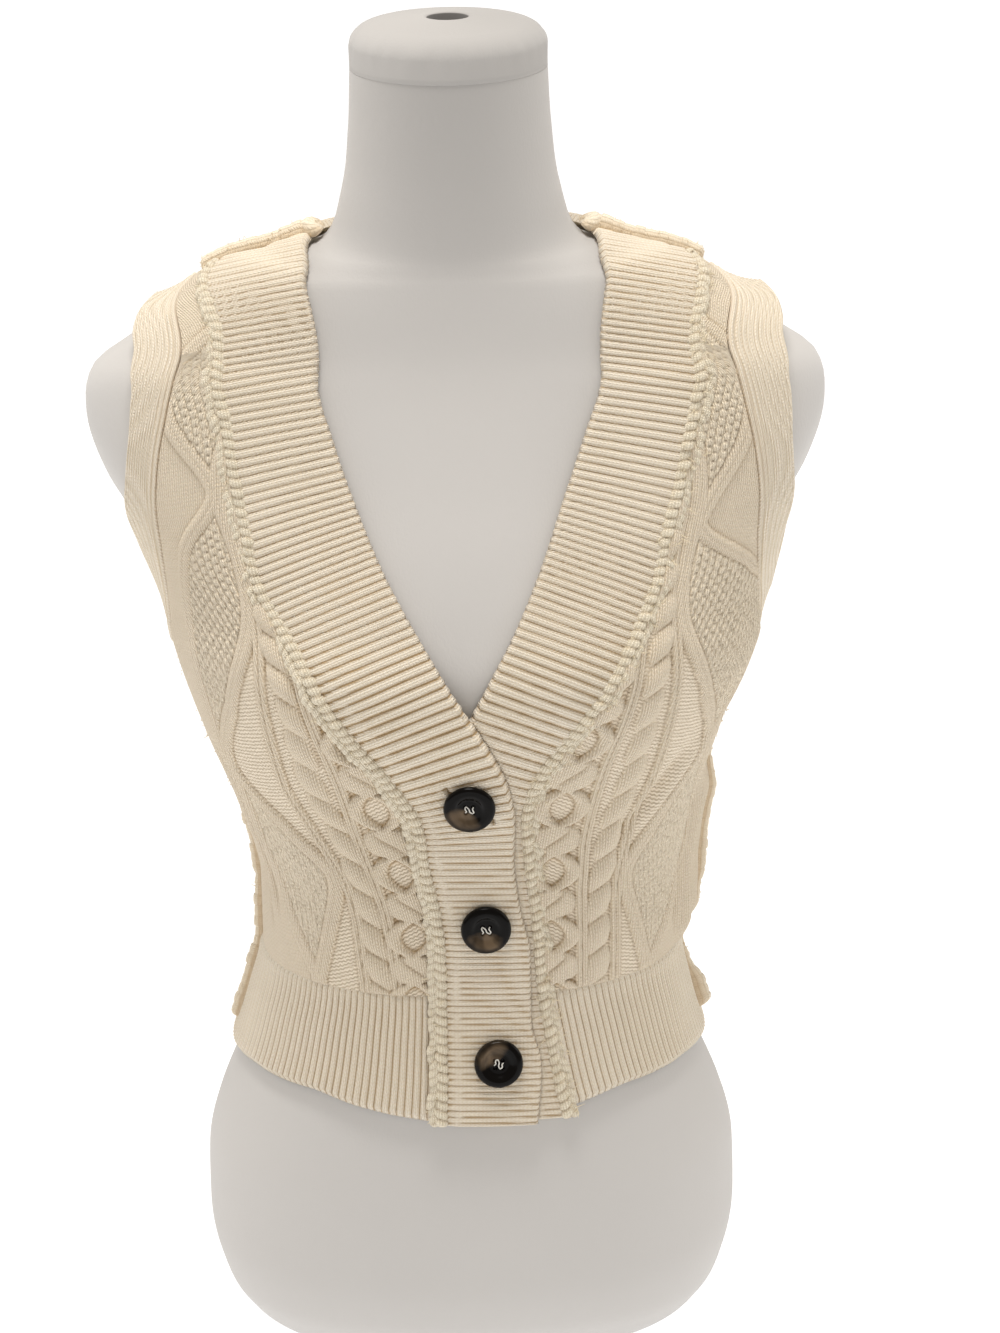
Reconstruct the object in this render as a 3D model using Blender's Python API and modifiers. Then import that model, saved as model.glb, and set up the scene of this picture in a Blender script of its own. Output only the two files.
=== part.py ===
"""A cropped, sleeveless cable-knit cardigan vest on a limbless dress form.

The form is a loft through level sections. Every piece of the vest is a wall whose place is given
by an angle round the form, a height, and a lift off the form's skin, so the cloth follows the form
and stays clear of it. Ribs and cables are raised in a wall's outer points over a plain inside.

Angles are in degrees: 0 at the centre front, 90 at the side, 180 at the centre back. The front
faces -Y, the wearer's left is +X, and Z is up from the surface that the form stands on.
"""

import math

import bmesh
import bpy
import numpy as np
from mathutils import Matrix, Vector

MM = 0.001

# --- the dress form -----------------------------------------------------------------------------

# One row a level. Columns: height, half width, front depth, back depth (mm), squareness.
FORM_SECTIONS = (
    (0, 98, 62, 66, 2.3),
    (8, 114, 76, 80, 2.3),
    (22, 128, 88, 93, 2.3),
    (45, 138, 97, 103, 2.3),
    (75, 142.5, 101, 108, 2.3),
    (105, 142, 102, 109, 2.3),
    (130, 136, 101, 107, 2.3),
    (150, 128, 99, 103, 2.3),
    (168, 119.5, 97, 98.5, 2.3),
    (195, 110.5, 92, 91, 2.3),
    (225, 103.5, 88, 85, 2.3),
    (262, 103.5, 88, 83, 2.3),
    (305, 114, 92, 86, 2.3),
    (350, 131, 100, 91, 2.3),
    (395, 145, 103, 96, 2.3),
    (425, 151, 97, 99, 2.2),
    (455, 163, 88, 99, 2.2),
    (485, 181, 77, 95, 2.2),
    (520, 190.5, 66, 86, 2.2),
    (540, 186, 60, 78, 2.2),
    (553, 168, 56, 72, 2.1),
    (565, 147, 53, 67, 2.1),
    (580, 121, 49, 61, 2.0),
    (595, 97, 47, 56, 2.0),
    (608, 78, 46.5, 53, 2.0),
    (622, 64, 47, 51, 2.0),
    (640, 55.5, 48, 50, 2.0),
    (665, 51.5, 49, 50, 2.0),
    (692, 50, 49.5, 50, 2.0),
)
# How far the shoulder's levels move, which squares the shoulders. Columns: height, shift (mm).
SHOULDER_SHIFT = (
    (500, 0), (540, 0), (553, 0.5), (565, 2.5), (577, 6), (587, 3.5), (597, -3), (608, -8.5),
    (617, -14), (625, -15.5), (640, -9), (665, -3), (692, 0),
)
BUST_RISE = 14.0           # how far each bust stands out of the section, mm
BUST_X = 72.0
BUST_HEIGHT = 398.0
BUST_HALF_WIDTH = 42.0
BUST_HALF_HEIGHT = 48.0

CAP_RADIUS = 50.0          # the round cap that closes the neck, mm
CAP_THICKNESS = 22.0       # at its corner
CAP_DOME = 3.5             # how far its crest stands above its corner, mm
CAP_CORNER = 11.0
CAP_HOLE_RADIUS = 10.5

# --- the cloth ----------------------------------------------------------------------------------

EASE = 2.5                 # the cloth's inside off the form, mm
WALL = 3.0                 # the knit's thickness without its relief, mm
RIB_RISE = 1.2
RIBS_PER_CELL = 4          # upright hem ribs between two points of its inside
BACK_CELLS = 14            # the cells across the back's inside, and along the neck band's
PARTING = 0.4              # each piece draws back this far from a seam, mm
WAIST_EASE_LEFT = 7.0      # the wearer's left side hangs looser at the waist, mm
WAIST_HEIGHT = 262.0
WAIST_SPAN = 62.0
CHEST_EASE_LEFT = 5.0      # and at the underarm, mm
CHEST_HEIGHT = 410.0
CHEST_SPAN = 45.0

SHOULDER_ANGLE = 97.0      # the shoulder seam lies just behind the top of the shoulder
SIDE_ANGLE = 91.0
RIB_TOP = 223.0            # where the hem rib meets the panels, mm

# The front bands, from the shoulder down to the hem.
# Columns: free edge's angle and height, seam's angle and height.
BAND_RIGHT = (
    (97, 617, 97, 583),
    (58, 603, 61, 570),
    (37, 580, 46, 556),
    (25, 557, 38.5, 535),
    (20, 525, 36.5, 508),
    (17, 490, 37, 478),
    (14, 455, 39, 450),
    (9, 425, 35, 424),
    (3, 398, 29, 398),
    (-3.5, 374, 23.5, 374),
    (-9, 350, 17, 350),
    (-12, 325, 11.5, 325),
    (-12.5, 297, 10.5, 297),
    (-15, 270, 8.5, 270),
    (-17.5, 247, 7.5, 247),
    (-17.5, 223, 7.5, 223),
    (-17, 205, 7.3, 205),
    (-18.5, 186, 7.1, 186),
    (-15.5, 154, 6.8, 155),
)
BAND_LEFT = (
    (97, 617, 97, 583),
    (60, 603, 64, 571),
    (39, 580, 47, 556),
    (27, 557, 40, 535),
    (21, 525, 37.5, 508),
    (17.5, 490, 37, 478),
    (15, 455, 38, 450),
    (11, 425, 35.5, 424),
    (5.5, 398, 30, 398),
    (0.5, 374, 23.5, 374),
    (-3.5, 350, 17.5, 350),
    (-4.5, 325, 15, 325),
    (-4, 297, 17, 297),
    (-2, 270, 19.5, 270),
    (-1, 247, 20.5, 247),
    (-0.5, 223, 21.3, 223),
    (0.5, 205, 22, 205),
    (1.5, 186, 22.6, 186),
    (2.5, 156, 23.6, 155),
)
PANEL_ROWS = 16            # the band rows that the front panels share, down to the rib
PANEL_STEPS = (3, 2, 4, 2, 2, 3, 3, 3, 3, 3, 3, 3, 3, 3, 2)
SHOULDER_STEPS = (3, 2, 2)  # the rows that a wall's inside has between the first table rows

# The armhole, from the underarm up to the shoulder.
# Columns: seam's angle and height, then the free edge's angle, height and how far it stands off,
# on the wearer's right and on the left.
ARMHOLE = (
    (91, 388, 91, 416, 1.0, 91, 416, 3.5),
    (82.5, 400, 86, 424, 1.0, 86, 424, 3.5),
    (74, 425, 82, 444, 1.2, 82, 444, 3.5),
    (66, 452, 74, 467, 1.2, 74, 467, 3.0),
    (57, 482, 65, 489, 1.2, 66, 489, 3.0),
    (51, 512, 59.5, 512, 1.5, 61.5, 512, 3.2),
    (49, 535, 58.5, 532, 2.0, 61, 532, 4.0),
    (53, 551, 64.5, 547, 3.0, 66, 546, 5.5),
    (66, 563, 77, 556, 4.5, 78, 555, 7.5),
    (97, 575.5, 97, 564, 5.0, 97, 561.5, 8.5),
)
ARMHOLE_FREE = {"right": 2, "left": 5}   # the free edge's first column
SIDE_HEIGHTS = (356, 328, 300, 273, 248, 223)

# The hem's lower edge. Columns: angle, height.
HEM_EDGE = ((0, 155), (7, 156), (25, 161), (45, 167), (65, 167), (91, 162), (135, 165), (180, 162))

# The back neck band. Columns: angle, free edge's height, seam's height.
BACK_NECK = ((97, 617, 583), (118, 614, 580), (145, 612, 568), (180, 612, 562))

# The knitted columns of each front, as angles at some heights.
# Columns: height, ring cable, twin rib, rope cable, outer twin rib, diamond's inner, outer border.
WALES_RIGHT = (
    (228, 15.5, 19.5, 24.5, 29.5, 45, 46),
    (262, 15.5, 22, 27.5, 31.5, 40, 58),
    (286, 17, 24.5, 29, 33.5, 37, 62),
    (311, 19.5, 27, 31, 39, 48.5, 64),
    (345, 22.5, 28.5, 35.5, 44, 63, 64),
    (383, 26, 31.5, 36, 43, 53, 64),
    (427, 30, 34, 38.5, 41, 43, 62.5),
    (456, 32, 36, 38, 40, 41.5, 56),
    (490, 30, 33, 36, 38.5, 40.5, 41.5),
    (560, 26, 29, 32, 35, 38, 52),
)
WALES_LEFT = (
    (228, 26, 33, 38, 44, 63.5, 66),
    (262, 24.5, 33, 38, 44, 52, 82),
    (286, 24, 32, 38, 43.5, 46, 84),
    (311, 23.5, 31, 38, 44, 53, 82),
    (352, 25, 32, 40, 47.5, 66, 69),
    (383, 28, 34.5, 40, 46.5, 57, 79),
    (421, 31, 36, 41, 44, 46, 82),
    (456, 32, 36, 39, 41, 43.5, 62),
    (490, 31, 34, 37, 40, 42.5, 43.5),
    (560, 28, 31, 34, 37, 40, 54),
)

ROPE_HALF_WIDTH = 8.5
ROPE_RISE = 2.8
ROPE_PITCH = 15.0
RING_HALF_WIDTH = 9.0
RING_RISE = 2.2
RING_PITCH = 31.0
TWIN_SPACING = 6.0         # between the two ribs of a twin rib, mm
TWIN_RISE = 1.5
BORDER_HALF_WIDTH = 5.0
BORDER_RISE = 2.0

NECK_BAND_LIFT = 0.5         # over the bend at the back of the neck, mm
SEAM_CLEARANCE = 0.8         # below a raised seam or a button, mm
BAND_SEAM_HALF_WIDTH = 4.0
BAND_SEAM_RISE = 3.6
SHOULDER_SEAM_RISE = 5.5
SIDE_SEAM_HALF_WIDTH = 2.2
SIDE_SEAM_RISE = 7.5

OVERLAP_LIFT = WALL + 1.1  # the right front band lies on the left one
OVERLAP_TOP = 424.0
OVERLAP_FULL = 390.0

# The buttons. Columns: name, angle, height.
BUTTONS = (
    ("button_top", 1.5, 334),
    ("button_middle", 5.5, 262),
    ("button_bottom", 7.5, 189),
)
BUTTON_RADIUS = 12.5
BUTTON_THICKNESS = 4.2
BUTTON_WELL_RADIUS = 7.5
BUTTON_WELL_DEPTH = 1.3
BUTTON_HOLE_RADIUS = 1.1
BUTTON_HOLE_OFFSET = 2.3

CREAM = (0.86, 0.77, 0.60)
JERSEY = (0.80, 0.77, 0.75)
HORN = (0.012, 0.010, 0.009)


# --- helpers ------------------------------------------------------------------------------------

def smooth_step(value, low, high):
    """0 below low, 1 above high, and a soft ramp between."""
    t = np.clip((np.asarray(value, float) - low) / (high - low), 0.0, 1.0)
    return t * t * (3.0 - 2.0 * t)


def smooth_curve(at, knots, values):
    """A curve through the values without overshoot (cubic pieces with limited slopes)."""
    knots = np.asarray(knots, float)
    values = np.asarray(values, float)
    rise = np.diff(values) / np.diff(knots)
    slope = np.gradient(values, knots)
    inner = np.where(rise[:-1] * rise[1:] <= 0.0, 0.0, 1.0)
    limit = 3.0 * np.minimum(abs(rise[:-1]), abs(rise[1:]))
    slope[1:-1] = inner * np.sign(slope[1:-1]) * np.minimum(abs(slope[1:-1]), limit)
    at = np.clip(np.asarray(at, float), knots[0], knots[-1])
    i = np.clip(np.searchsorted(knots, at) - 1, 0, len(knots) - 2)
    step = knots[i + 1] - knots[i]
    t = (at - knots[i]) / step
    return ((1 + 2 * t) * (1 - t) ** 2 * values[i] + t * (1 - t) ** 2 * step * slope[i]
            + t * t * (3 - 2 * t) * values[i + 1] + t * t * (t - 1) * step * slope[i + 1])


def columns(table):
    """The table's columns as arrays."""
    return np.asarray(table, float).T


FORM_HEIGHT, FORM_HALF, FORM_FRONT, FORM_BACK, FORM_SQUARE = columns(FORM_SECTIONS)


def form_point(angle, height):
    """The form's skin: x = a sin t and |y| = b (1 - |sin t|^n)^(1/n), plus the bust's rise.

    The height is the section's, before the shoulder's shift.
    """
    angle, height = np.broadcast_arrays(np.asarray(angle, float), np.asarray(height, float))
    half = smooth_curve(height, FORM_HEIGHT, FORM_HALF)
    front = smooth_curve(height, FORM_HEIGHT, FORM_FRONT)
    back = smooth_curve(height, FORM_HEIGHT, FORM_BACK)
    square = smooth_curve(height, FORM_HEIGHT, FORM_SQUARE)
    sine = np.sin(np.radians(angle))
    cosine = np.cos(np.radians(angle))
    x = half * sine
    depth = np.maximum(1.0 - abs(sine) ** square, 0.0) ** (1.0 / square)
    y = np.where(cosine >= 0.0, -front, back) * depth
    bust = BUST_RISE * np.exp(-((abs(x) - BUST_X) / BUST_HALF_WIDTH) ** 2
                              - ((height - BUST_HEIGHT) / BUST_HALF_HEIGHT) ** 2)
    level = height + smooth_curve(height, *columns(SHOULDER_SHIFT))
    return np.stack([x, y - bust * np.clip(cosine, 0.0, 1.0), level], -1)


def form_normal(angle, height):
    """The skin's outward direction, from small steps each way."""
    around = form_point(angle + 0.06, height) - form_point(angle - 0.06, height)
    upward = form_point(angle, height + 0.5) - form_point(angle, height - 0.5)
    normal = np.cross(around, upward)
    return normal / np.linalg.norm(normal, axis=-1, keepdims=True)


def on_form(angle, height, lift):
    """Points off the form's skin by the lift, in mm."""
    angle, height = np.broadcast_arrays(np.asarray(angle, float), np.asarray(height, float))
    return form_point(angle, height) + form_normal(angle, height) * np.asarray(lift)[..., None]


def cloth_ease(angle, height):
    """The cloth's inside off the form: looser at the wearer's left waist and underarm."""
    side = np.clip(np.sin(np.radians(angle)), 0.0, 1.0) ** 2
    waist = np.exp(-((height - WAIST_HEIGHT) / WAIST_SPAN) ** 2)
    chest = np.exp(-((height - CHEST_HEIGHT) / CHEST_SPAN) ** 2)
    return EASE + side * (WAIST_EASE_LEFT * waist + CHEST_EASE_LEFT * chest)


def refine(rows, steps):
    """Positions 0 .. rows - 1 with the given number of steps in each interval."""
    starts = [i + np.arange(n) / n for i, n in zip(range(rows - 1), steps)]
    return np.concatenate(starts + [[rows - 1.0]])


def inside_steps(intervals):
    """The inside's rows in each interval between table rows: closer over the shoulder."""
    return list(SHOULDER_STEPS) + [1] * (intervals - len(SHOULDER_STEPS))


def marks(steps, inside=None):
    """The index of each inside row among the outer ones."""
    inside = inside or [1] * len(steps)
    spans = [outer // inner for outer, inner in zip(steps, inside) for _ in range(inner)]
    return np.concatenate([[0], np.cumsum(spans)]).astype(int)


def material(name, colour, roughness):
    made = bpy.data.materials.new(name)
    made.use_nodes = True
    shader = made.node_tree.nodes["Principled BSDF"]
    shader.inputs["Base Color"].default_value = (*colour, 1.0)
    shader.inputs["Roughness"].default_value = roughness
    made.diffuse_color = (*colour, 1.0)
    return made


def add_object(name, mesh, skin, collection):
    mesh.materials.append(skin)
    mesh.shade_smooth()
    made = bpy.data.objects.new(name, mesh)
    collection.objects.link(made)
    return made


def draw_back(points, ends=(True, True, True, True)):
    """Moves a grid's first and last rows and columns inwards by the parting."""
    moved = points.copy()
    for wanted, edge, inner in zip(ends, (0, -1), (1, -2)):
        if wanted:
            step = points[inner] - points[edge]
            moved[edge] += PARTING * step / np.linalg.norm(step, axis=-1, keepdims=True)
    for wanted, edge, inner in zip(ends[2:], (0, -1), (1, -2)):
        if wanted:
            step = moved[:, inner] - moved[:, edge]
            moved[:, edge] += PARTING * step / np.linalg.norm(step, axis=-1, keepdims=True)
    return moved


def wall_mesh(name, outer, inner, row_marks, column_marks, ring=False):
    """A closed wall between a fine outer grid and a coarse inner one, stitched at the rims."""
    ends = (not ring, not ring, True, True)
    outer = draw_back(outer, ends)
    inner = draw_back(inner, ends)
    mesh = bmesh.new()
    fine = [[mesh.verts.new(Vector(p) * MM) for p in row] for row in outer]
    coarse = [[mesh.verts.new(Vector(p) * MM) for p in row] for row in inner]
    for grid in (fine, coarse):
        pairs = list(zip(grid, grid[1:]))
        if ring:
            pairs.append((grid[-1], grid[0]))
        for low, high in pairs:
            for a, b, c, d in zip(low, low[1:], high[1:], high):
                mesh.faces.new((a, b, c, d))

    def stitch(inner_line, outer_line, at):
        for k, (a, b) in enumerate(zip(inner_line, inner_line[1:])):
            run = outer_line[at[k]:at[k + 1] + 1]
            middle = len(run) // 2
            for p, q in zip(run[:middle], run[1:middle + 1]):
                mesh.faces.new((a, q, p))
            mesh.faces.new((a, b, run[middle]))
            for p, q in zip(run[middle:], run[middle + 1:]):
                mesh.faces.new((b, q, p))

    for column in (0, -1):
        inner_line = [row[column] for row in coarse]
        outer_line = [row[column] for row in fine]
        if ring:
            inner_line.append(coarse[0][column])
            outer_line.append(fine[0][column])
        stitch(inner_line, outer_line, row_marks)
    if not ring:
        stitch(coarse[0], fine[0], column_marks)
        stitch(coarse[-1], fine[-1], column_marks)
    bmesh.ops.recalc_face_normals(mesh, faces=mesh.faces)
    made = bpy.data.meshes.new(name)
    mesh.to_mesh(made)
    mesh.free()
    return made


# --- the form -----------------------------------------------------------------------------------

def build_form(skin, collection):
    """The torso: a loft through level sections, closed flat below and at the neck."""
    around = 26
    angles = np.arange(around) * 360.0 / around
    mesh = bmesh.new()
    rings = []
    for level in FORM_HEIGHT:
        points = form_point(angles, np.full(around, level))
        rings.append([mesh.verts.new(Vector(p) * MM) for p in points])
    for low, high in zip(rings, rings[1:]):
        for k in range(around):
            mesh.faces.new((low[k], low[(k + 1) % around], high[(k + 1) % around], high[k]))
    mesh.faces.new(rings[0][::-1])
    mesh.faces.new(rings[-1])
    bmesh.ops.recalc_face_normals(mesh, faces=mesh.faces)
    made = bpy.data.meshes.new("dress_form")
    mesh.to_mesh(made)
    mesh.free()
    add_object("dress_form", made, skin, collection)


def turned(name, profile, steps, skin, collection):
    """A profile of (radius, height) in mm turned about its own Z with a Screw modifier."""
    mesh = bpy.data.meshes.new(name)
    points = [(radius * MM, 0.0, height * MM) for radius, height in profile]
    closed = profile[0][0] > 0.0
    edges = [(k, k + 1) for k in range(len(points) - 1)]
    if closed:
        edges.append((len(points) - 1, 0))
    mesh.from_pydata(points, edges, [])
    made = add_object(name, mesh, skin, collection)
    screw = made.modifiers.new("turn", "SCREW")
    screw.steps = steps
    screw.render_steps = steps
    screw.use_merge_vertices = True
    screw.merge_threshold = 0.00001
    screw.use_normal_calculate = True
    return made


def build_cap(skin, collection):
    """The round cap on the neck, with a blind hole that the neck's top closes."""
    base = FORM_HEIGHT[-1] + PARTING
    top = base + CAP_THICKNESS
    flat = CAP_RADIUS - CAP_CORNER
    lean = math.atan(2.0 * CAP_DOME / flat)
    dome = [(radius, top + CAP_DOME * (1.0 - (radius / flat) ** 2))
            for radius in (CAP_HOLE_RADIUS, 0.65 * flat, flat)]
    corner = [(flat + CAP_CORNER * (math.sin(t) - math.sin(lean)) / (1.0 - math.sin(lean)),
               top - CAP_CORNER * (math.cos(lean) - math.cos(t)))
              for t in (math.radians(38), math.radians(63), math.pi / 2)]
    profile = dome + corner + [(CAP_RADIUS, base), (CAP_HOLE_RADIUS, base)]
    turned("neck_cap", profile, 20, skin, collection)


# --- the front bands and panels -----------------------------------------------------------------

def side_sign(side):
    return -1.0 if side == "right" else 1.0


def overlap_lift(height, across):
    """The right band's lift over the left one: across is 0 at the seam and 1 at the free edge."""
    return (OVERLAP_LIFT * (1.0 - smooth_step(height, OVERLAP_FULL, OVERLAP_TOP))
            * (0.5 + 0.5 * smooth_step(across, 0.0, 0.2)))


def build_front_band(side, table, skin, collection):
    """A ribbed band from the shoulder to the hem, its ribs crosswise."""
    edge_angle, edge_height = columns(table)[:2]
    rows = len(table)
    top_band = side == "right"
    steps = [9] + [8] * 8 + [5 if top_band else 2] * (rows - 10)
    inside = inside_steps(rows - 1)
    at = refine(rows, steps)
    station = np.arange(rows)
    across = np.array([0.0, 0.1, 0.5, 0.94, 1.0])
    ribbed = np.array([0.0, 0.0, 1.0, 0.8, -0.6])

    def grid(positions, lateral):
        seam_a, seam_z = [line[:, None] for line in band_seam(table, positions)]
        edge_a = smooth_curve(positions, station, edge_angle)[:, None]
        edge_z = smooth_curve(positions, station, edge_height)[:, None]
        angle = side_sign(side) * (seam_a + (edge_a - seam_a) * lateral)
        height = seam_z + (edge_z - seam_z) * lateral
        lift = cloth_ease(angle, height)
        if top_band:
            lift = lift + overlap_lift(height, lateral)
        return angle, height, lift

    angle, height, lift = grid(at, across)
    every_other = (np.arange(len(at)) % 2)[:, None]
    hidden = 0.0 if top_band else 1.0
    plain = hidden * (1.0 - smooth_step(height, 372.0, 385.0))
    lift = lift + WALL + RIB_RISE * ribbed * every_other * (1.0 - plain) - 0.5 * (ribbed < 0)
    outer = on_form(angle, height, lift)
    inner = on_form(*grid(refine(rows, inside), np.array([0.0, 0.33, 0.67, 1.0])))
    mesh = wall_mesh("front_band_" + side, outer, inner, marks(steps, inside), [0, 1, 3, 4])
    add_object("front_band_" + side, mesh, skin, collection)


def band_seam(table, positions):
    """The seam between a front band and its panel: straight from one panel row to the next."""
    _, _, angle, height = columns(table)
    knots = np.arange(len(table))
    stations = refine(len(table), PANEL_STEPS + (1,) * (len(table) - PANEL_ROWS))
    return [np.interp(positions, stations, smooth_curve(stations, knots, line))
            for line in (angle, height)]


def armhole_line(positions, angle_column, height_column, back=False):
    """An edge of the armhole band at rows of its table; the back mirrors it about the side."""
    table = columns(ARMHOLE)
    station = np.arange(len(ARMHOLE))
    angle = smooth_curve(positions, station, table[angle_column])
    height = smooth_curve(positions, station, table[height_column])
    seam_height = smooth_curve(positions, station, table[1])
    turn = np.interp(seam_height, table[1][[0, -1]], (2 * SIDE_ANGLE, 2 * SHOULDER_ANGLE))
    return np.where(back, turn - angle, angle), height


def panel_edge(positions, back=False):
    """The outer edge of a front or back panel, by rows from the shoulder down to the rib."""
    last = len(ARMHOLE) - 1
    angle, height = armhole_line(np.clip(last - positions, 0, last), 0, 1, back)
    side = np.interp(positions, np.arange(last, PANEL_ROWS), (ARMHOLE[0][1],) + SIDE_HEIGHTS)
    below = positions > last
    return np.where(below, SIDE_ANGLE, angle), np.where(below, side, height)


def ridge(distance, half_width):
    """A rounded ridge: 1 on its line, 0 from its half width on."""
    return np.clip(1.0 - (distance / half_width) ** 2, 0.0, 1.0)


def rope_relief(distance, height):
    """Slanting lobes, one above the other."""
    lobe = abs(np.sin(np.pi * (height + 0.7 * distance) / ROPE_PITCH))
    return ROPE_RISE * ridge(distance, ROPE_HALF_WIDTH) * (0.45 + 0.55 * lobe)


def ring_relief(distance, height):
    """Two strands that part and meet, which leaves a chain of rings."""
    reach = RING_HALF_WIDTH * abs(np.sin(np.pi * height / RING_PITCH)) ** 0.6
    return RING_RISE * ridge(abs(distance) - reach, 3.4)


def twin_relief(distance):
    return TWIN_RISE * ridge(abs(distance) - TWIN_SPACING / 2, 2.6)


def border_relief(distance):
    return BORDER_RISE * ridge(distance, BORDER_HALF_WIDTH)


def wale_angles(table, height):
    """Each knitted column's angle at the given heights."""
    knots, *lines = columns(table)
    return [np.interp(height, knots, line) for line in lines]


def panel_relief(table, angle, height):
    """The height of the cables over a front panel."""
    scale = np.linalg.norm(form_point(angle + 0.5, height) - form_point(angle - 0.5, height),
                           axis=-1)
    ring, twin, rope, outer_twin, inside, outside = [
        (angle - line) * scale for line in wale_angles(table, height)]
    parts = (ring_relief(ring, height), twin_relief(twin), rope_relief(rope, height),
             twin_relief(outer_twin), border_relief(inside), border_relief(outside))
    return np.maximum.reduce(parts)


def snap_columns(angles, lines):
    """Draws the nearest inner grid column of each row onto each knitted line."""
    snapped = angles.copy()
    for line in lines:
        for row, wanted, spaced in zip(snapped, line, angles):
            spacing = spaced[1] - spaced[0]
            k = int(np.argmin(abs(spaced - wanted)))
            if 0 < k < len(row) - 1 and abs(spaced[k] - wanted) < 0.5 * abs(spacing):
                row[k] = wanted
    return snapped


def build_front_panel(side, band, wales, skin, collection):
    """A cabled front, from the shoulder to the rib and from the band to the side seam."""
    inside = inside_steps(PANEL_ROWS - 1)
    at = refine(PANEL_ROWS, PANEL_STEPS)
    column_steps = [3] * 7
    across = refine(len(column_steps) + 1, column_steps) / len(column_steps)

    def grid(positions, lateral):
        inner_a, inner_z = [line[:, None] for line in band_seam(band, positions)]
        outer_a, outer_z = [line[:, None] for line in panel_edge(positions)]
        return inner_a + (outer_a - inner_a) * lateral, inner_z + (outer_z - inner_z) * lateral

    angle, height = grid(at, across)
    level = height.mean(1)
    angle = snap_columns(angle, wale_angles(wales, level))
    skin_points = form_point(angle, height)
    from_seam = np.linalg.norm(skin_points - skin_points[:, :1], axis=-1)
    from_side = np.linalg.norm(skin_points - skin_points[:, -1:], axis=-1)
    fade = smooth_step(np.minimum(from_seam, from_side), 5.0, 11.0)
    fade = fade * (1.0 - smooth_step(height, 556.0, 566.0)) * smooth_step(height, 223.0, 229.0)
    lift = WALL + fade * panel_relief(wales, angle, height)
    world = side_sign(side) * angle
    outer = on_form(world, height, cloth_ease(world, height) + lift)
    main_angle, main_height = grid(refine(PANEL_ROWS, inside), across[::3])
    world = side_sign(side) * main_angle
    inner = on_form(world, main_height, cloth_ease(world, main_height))
    mesh = wall_mesh("front_panel_" + side, outer, inner, marks(PANEL_STEPS, inside),
                     marks(column_steps))
    add_object("front_panel_" + side, mesh, skin, collection)


# --- the back -----------------------------------------------------------------------------------

def build_back_panel(skin, collection):
    """The cabled back, from side seam to side seam and up to the back neck band."""
    rows = PANEL_ROWS + 1
    steps = [1, 3, 2, 2, 2, 2, 2, 2, 2, 2, 2, 2, 2, 2, 2, 2]
    inside = [1] + inside_steps(rows - 2)
    at = refine(rows, steps)
    column_steps = [2] * BACK_CELLS
    across = refine(BACK_CELLS + 1, column_steps) * 2.0 / BACK_CELLS - 1.0
    neck_angle, _, neck_height = columns(BACK_NECK)
    corner, top = neck_height[[0, -1]]

    def neck_line(lateral):
        return smooth_curve(180.0 - abs(lateral) * (180.0 - SHOULDER_ANGLE), neck_angle,
                            neck_height)

    def grid(positions, lateral):
        side_a, side_z = panel_edge(np.maximum(positions - 1.0, 0.0), back=True)
        rise = np.clip(1.0 - positions, 0.0, 1.0) * (corner - ARMHOLE[-1][1])
        side_a, side_z = side_a[:, None], (side_z + rise)[:, None]
        centre_z = RIB_TOP + (side_z - RIB_TOP) * (top - RIB_TOP) / (corner - RIB_TOP)
        angle = 180.0 + (180.0 - side_a) * lateral
        share = (corner - neck_line(lateral)) / (corner - top)
        return angle, side_z + (centre_z - side_z) * share

    angle, height = grid(at, across)
    place = abs(across)[None, :] * 150.0 * np.ones_like(angle)
    relief = np.maximum.reduce((
        ring_relief(place - 37.5, height), rope_relief(place - 67.5, height),
        twin_relief(place - 52.5), twin_relief(place - 82.5),
        border_relief(place - 22.0 * abs(np.sin(np.pi * (height - 228.0) / 130.0))),
        border_relief(place - 112.0 - 22.0 * np.sin(np.pi * (height - 228.0) / 130.0)),
    ))
    skin_points = form_point(angle, height)
    from_side = np.minimum(np.linalg.norm(skin_points - skin_points[:, :1], axis=-1),
                           np.linalg.norm(skin_points - skin_points[:, -1:], axis=-1))
    fade = smooth_step(from_side, 5.0, 11.0) * smooth_step(height, 223.0, 229.0)
    fade = fade * (1.0 - smooth_step(height - neck_line(across), -16.0, -6.0))
    outer = on_form(angle, height, cloth_ease(angle, height) + WALL + fade * relief)
    main_angle, main_height = grid(refine(rows, inside), across[::2])
    inner = on_form(main_angle, main_height, cloth_ease(main_angle, main_height))
    mesh = wall_mesh("back_panel", outer, inner, marks(steps, inside), marks(column_steps))
    add_object("back_panel", mesh, skin, collection)


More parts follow.
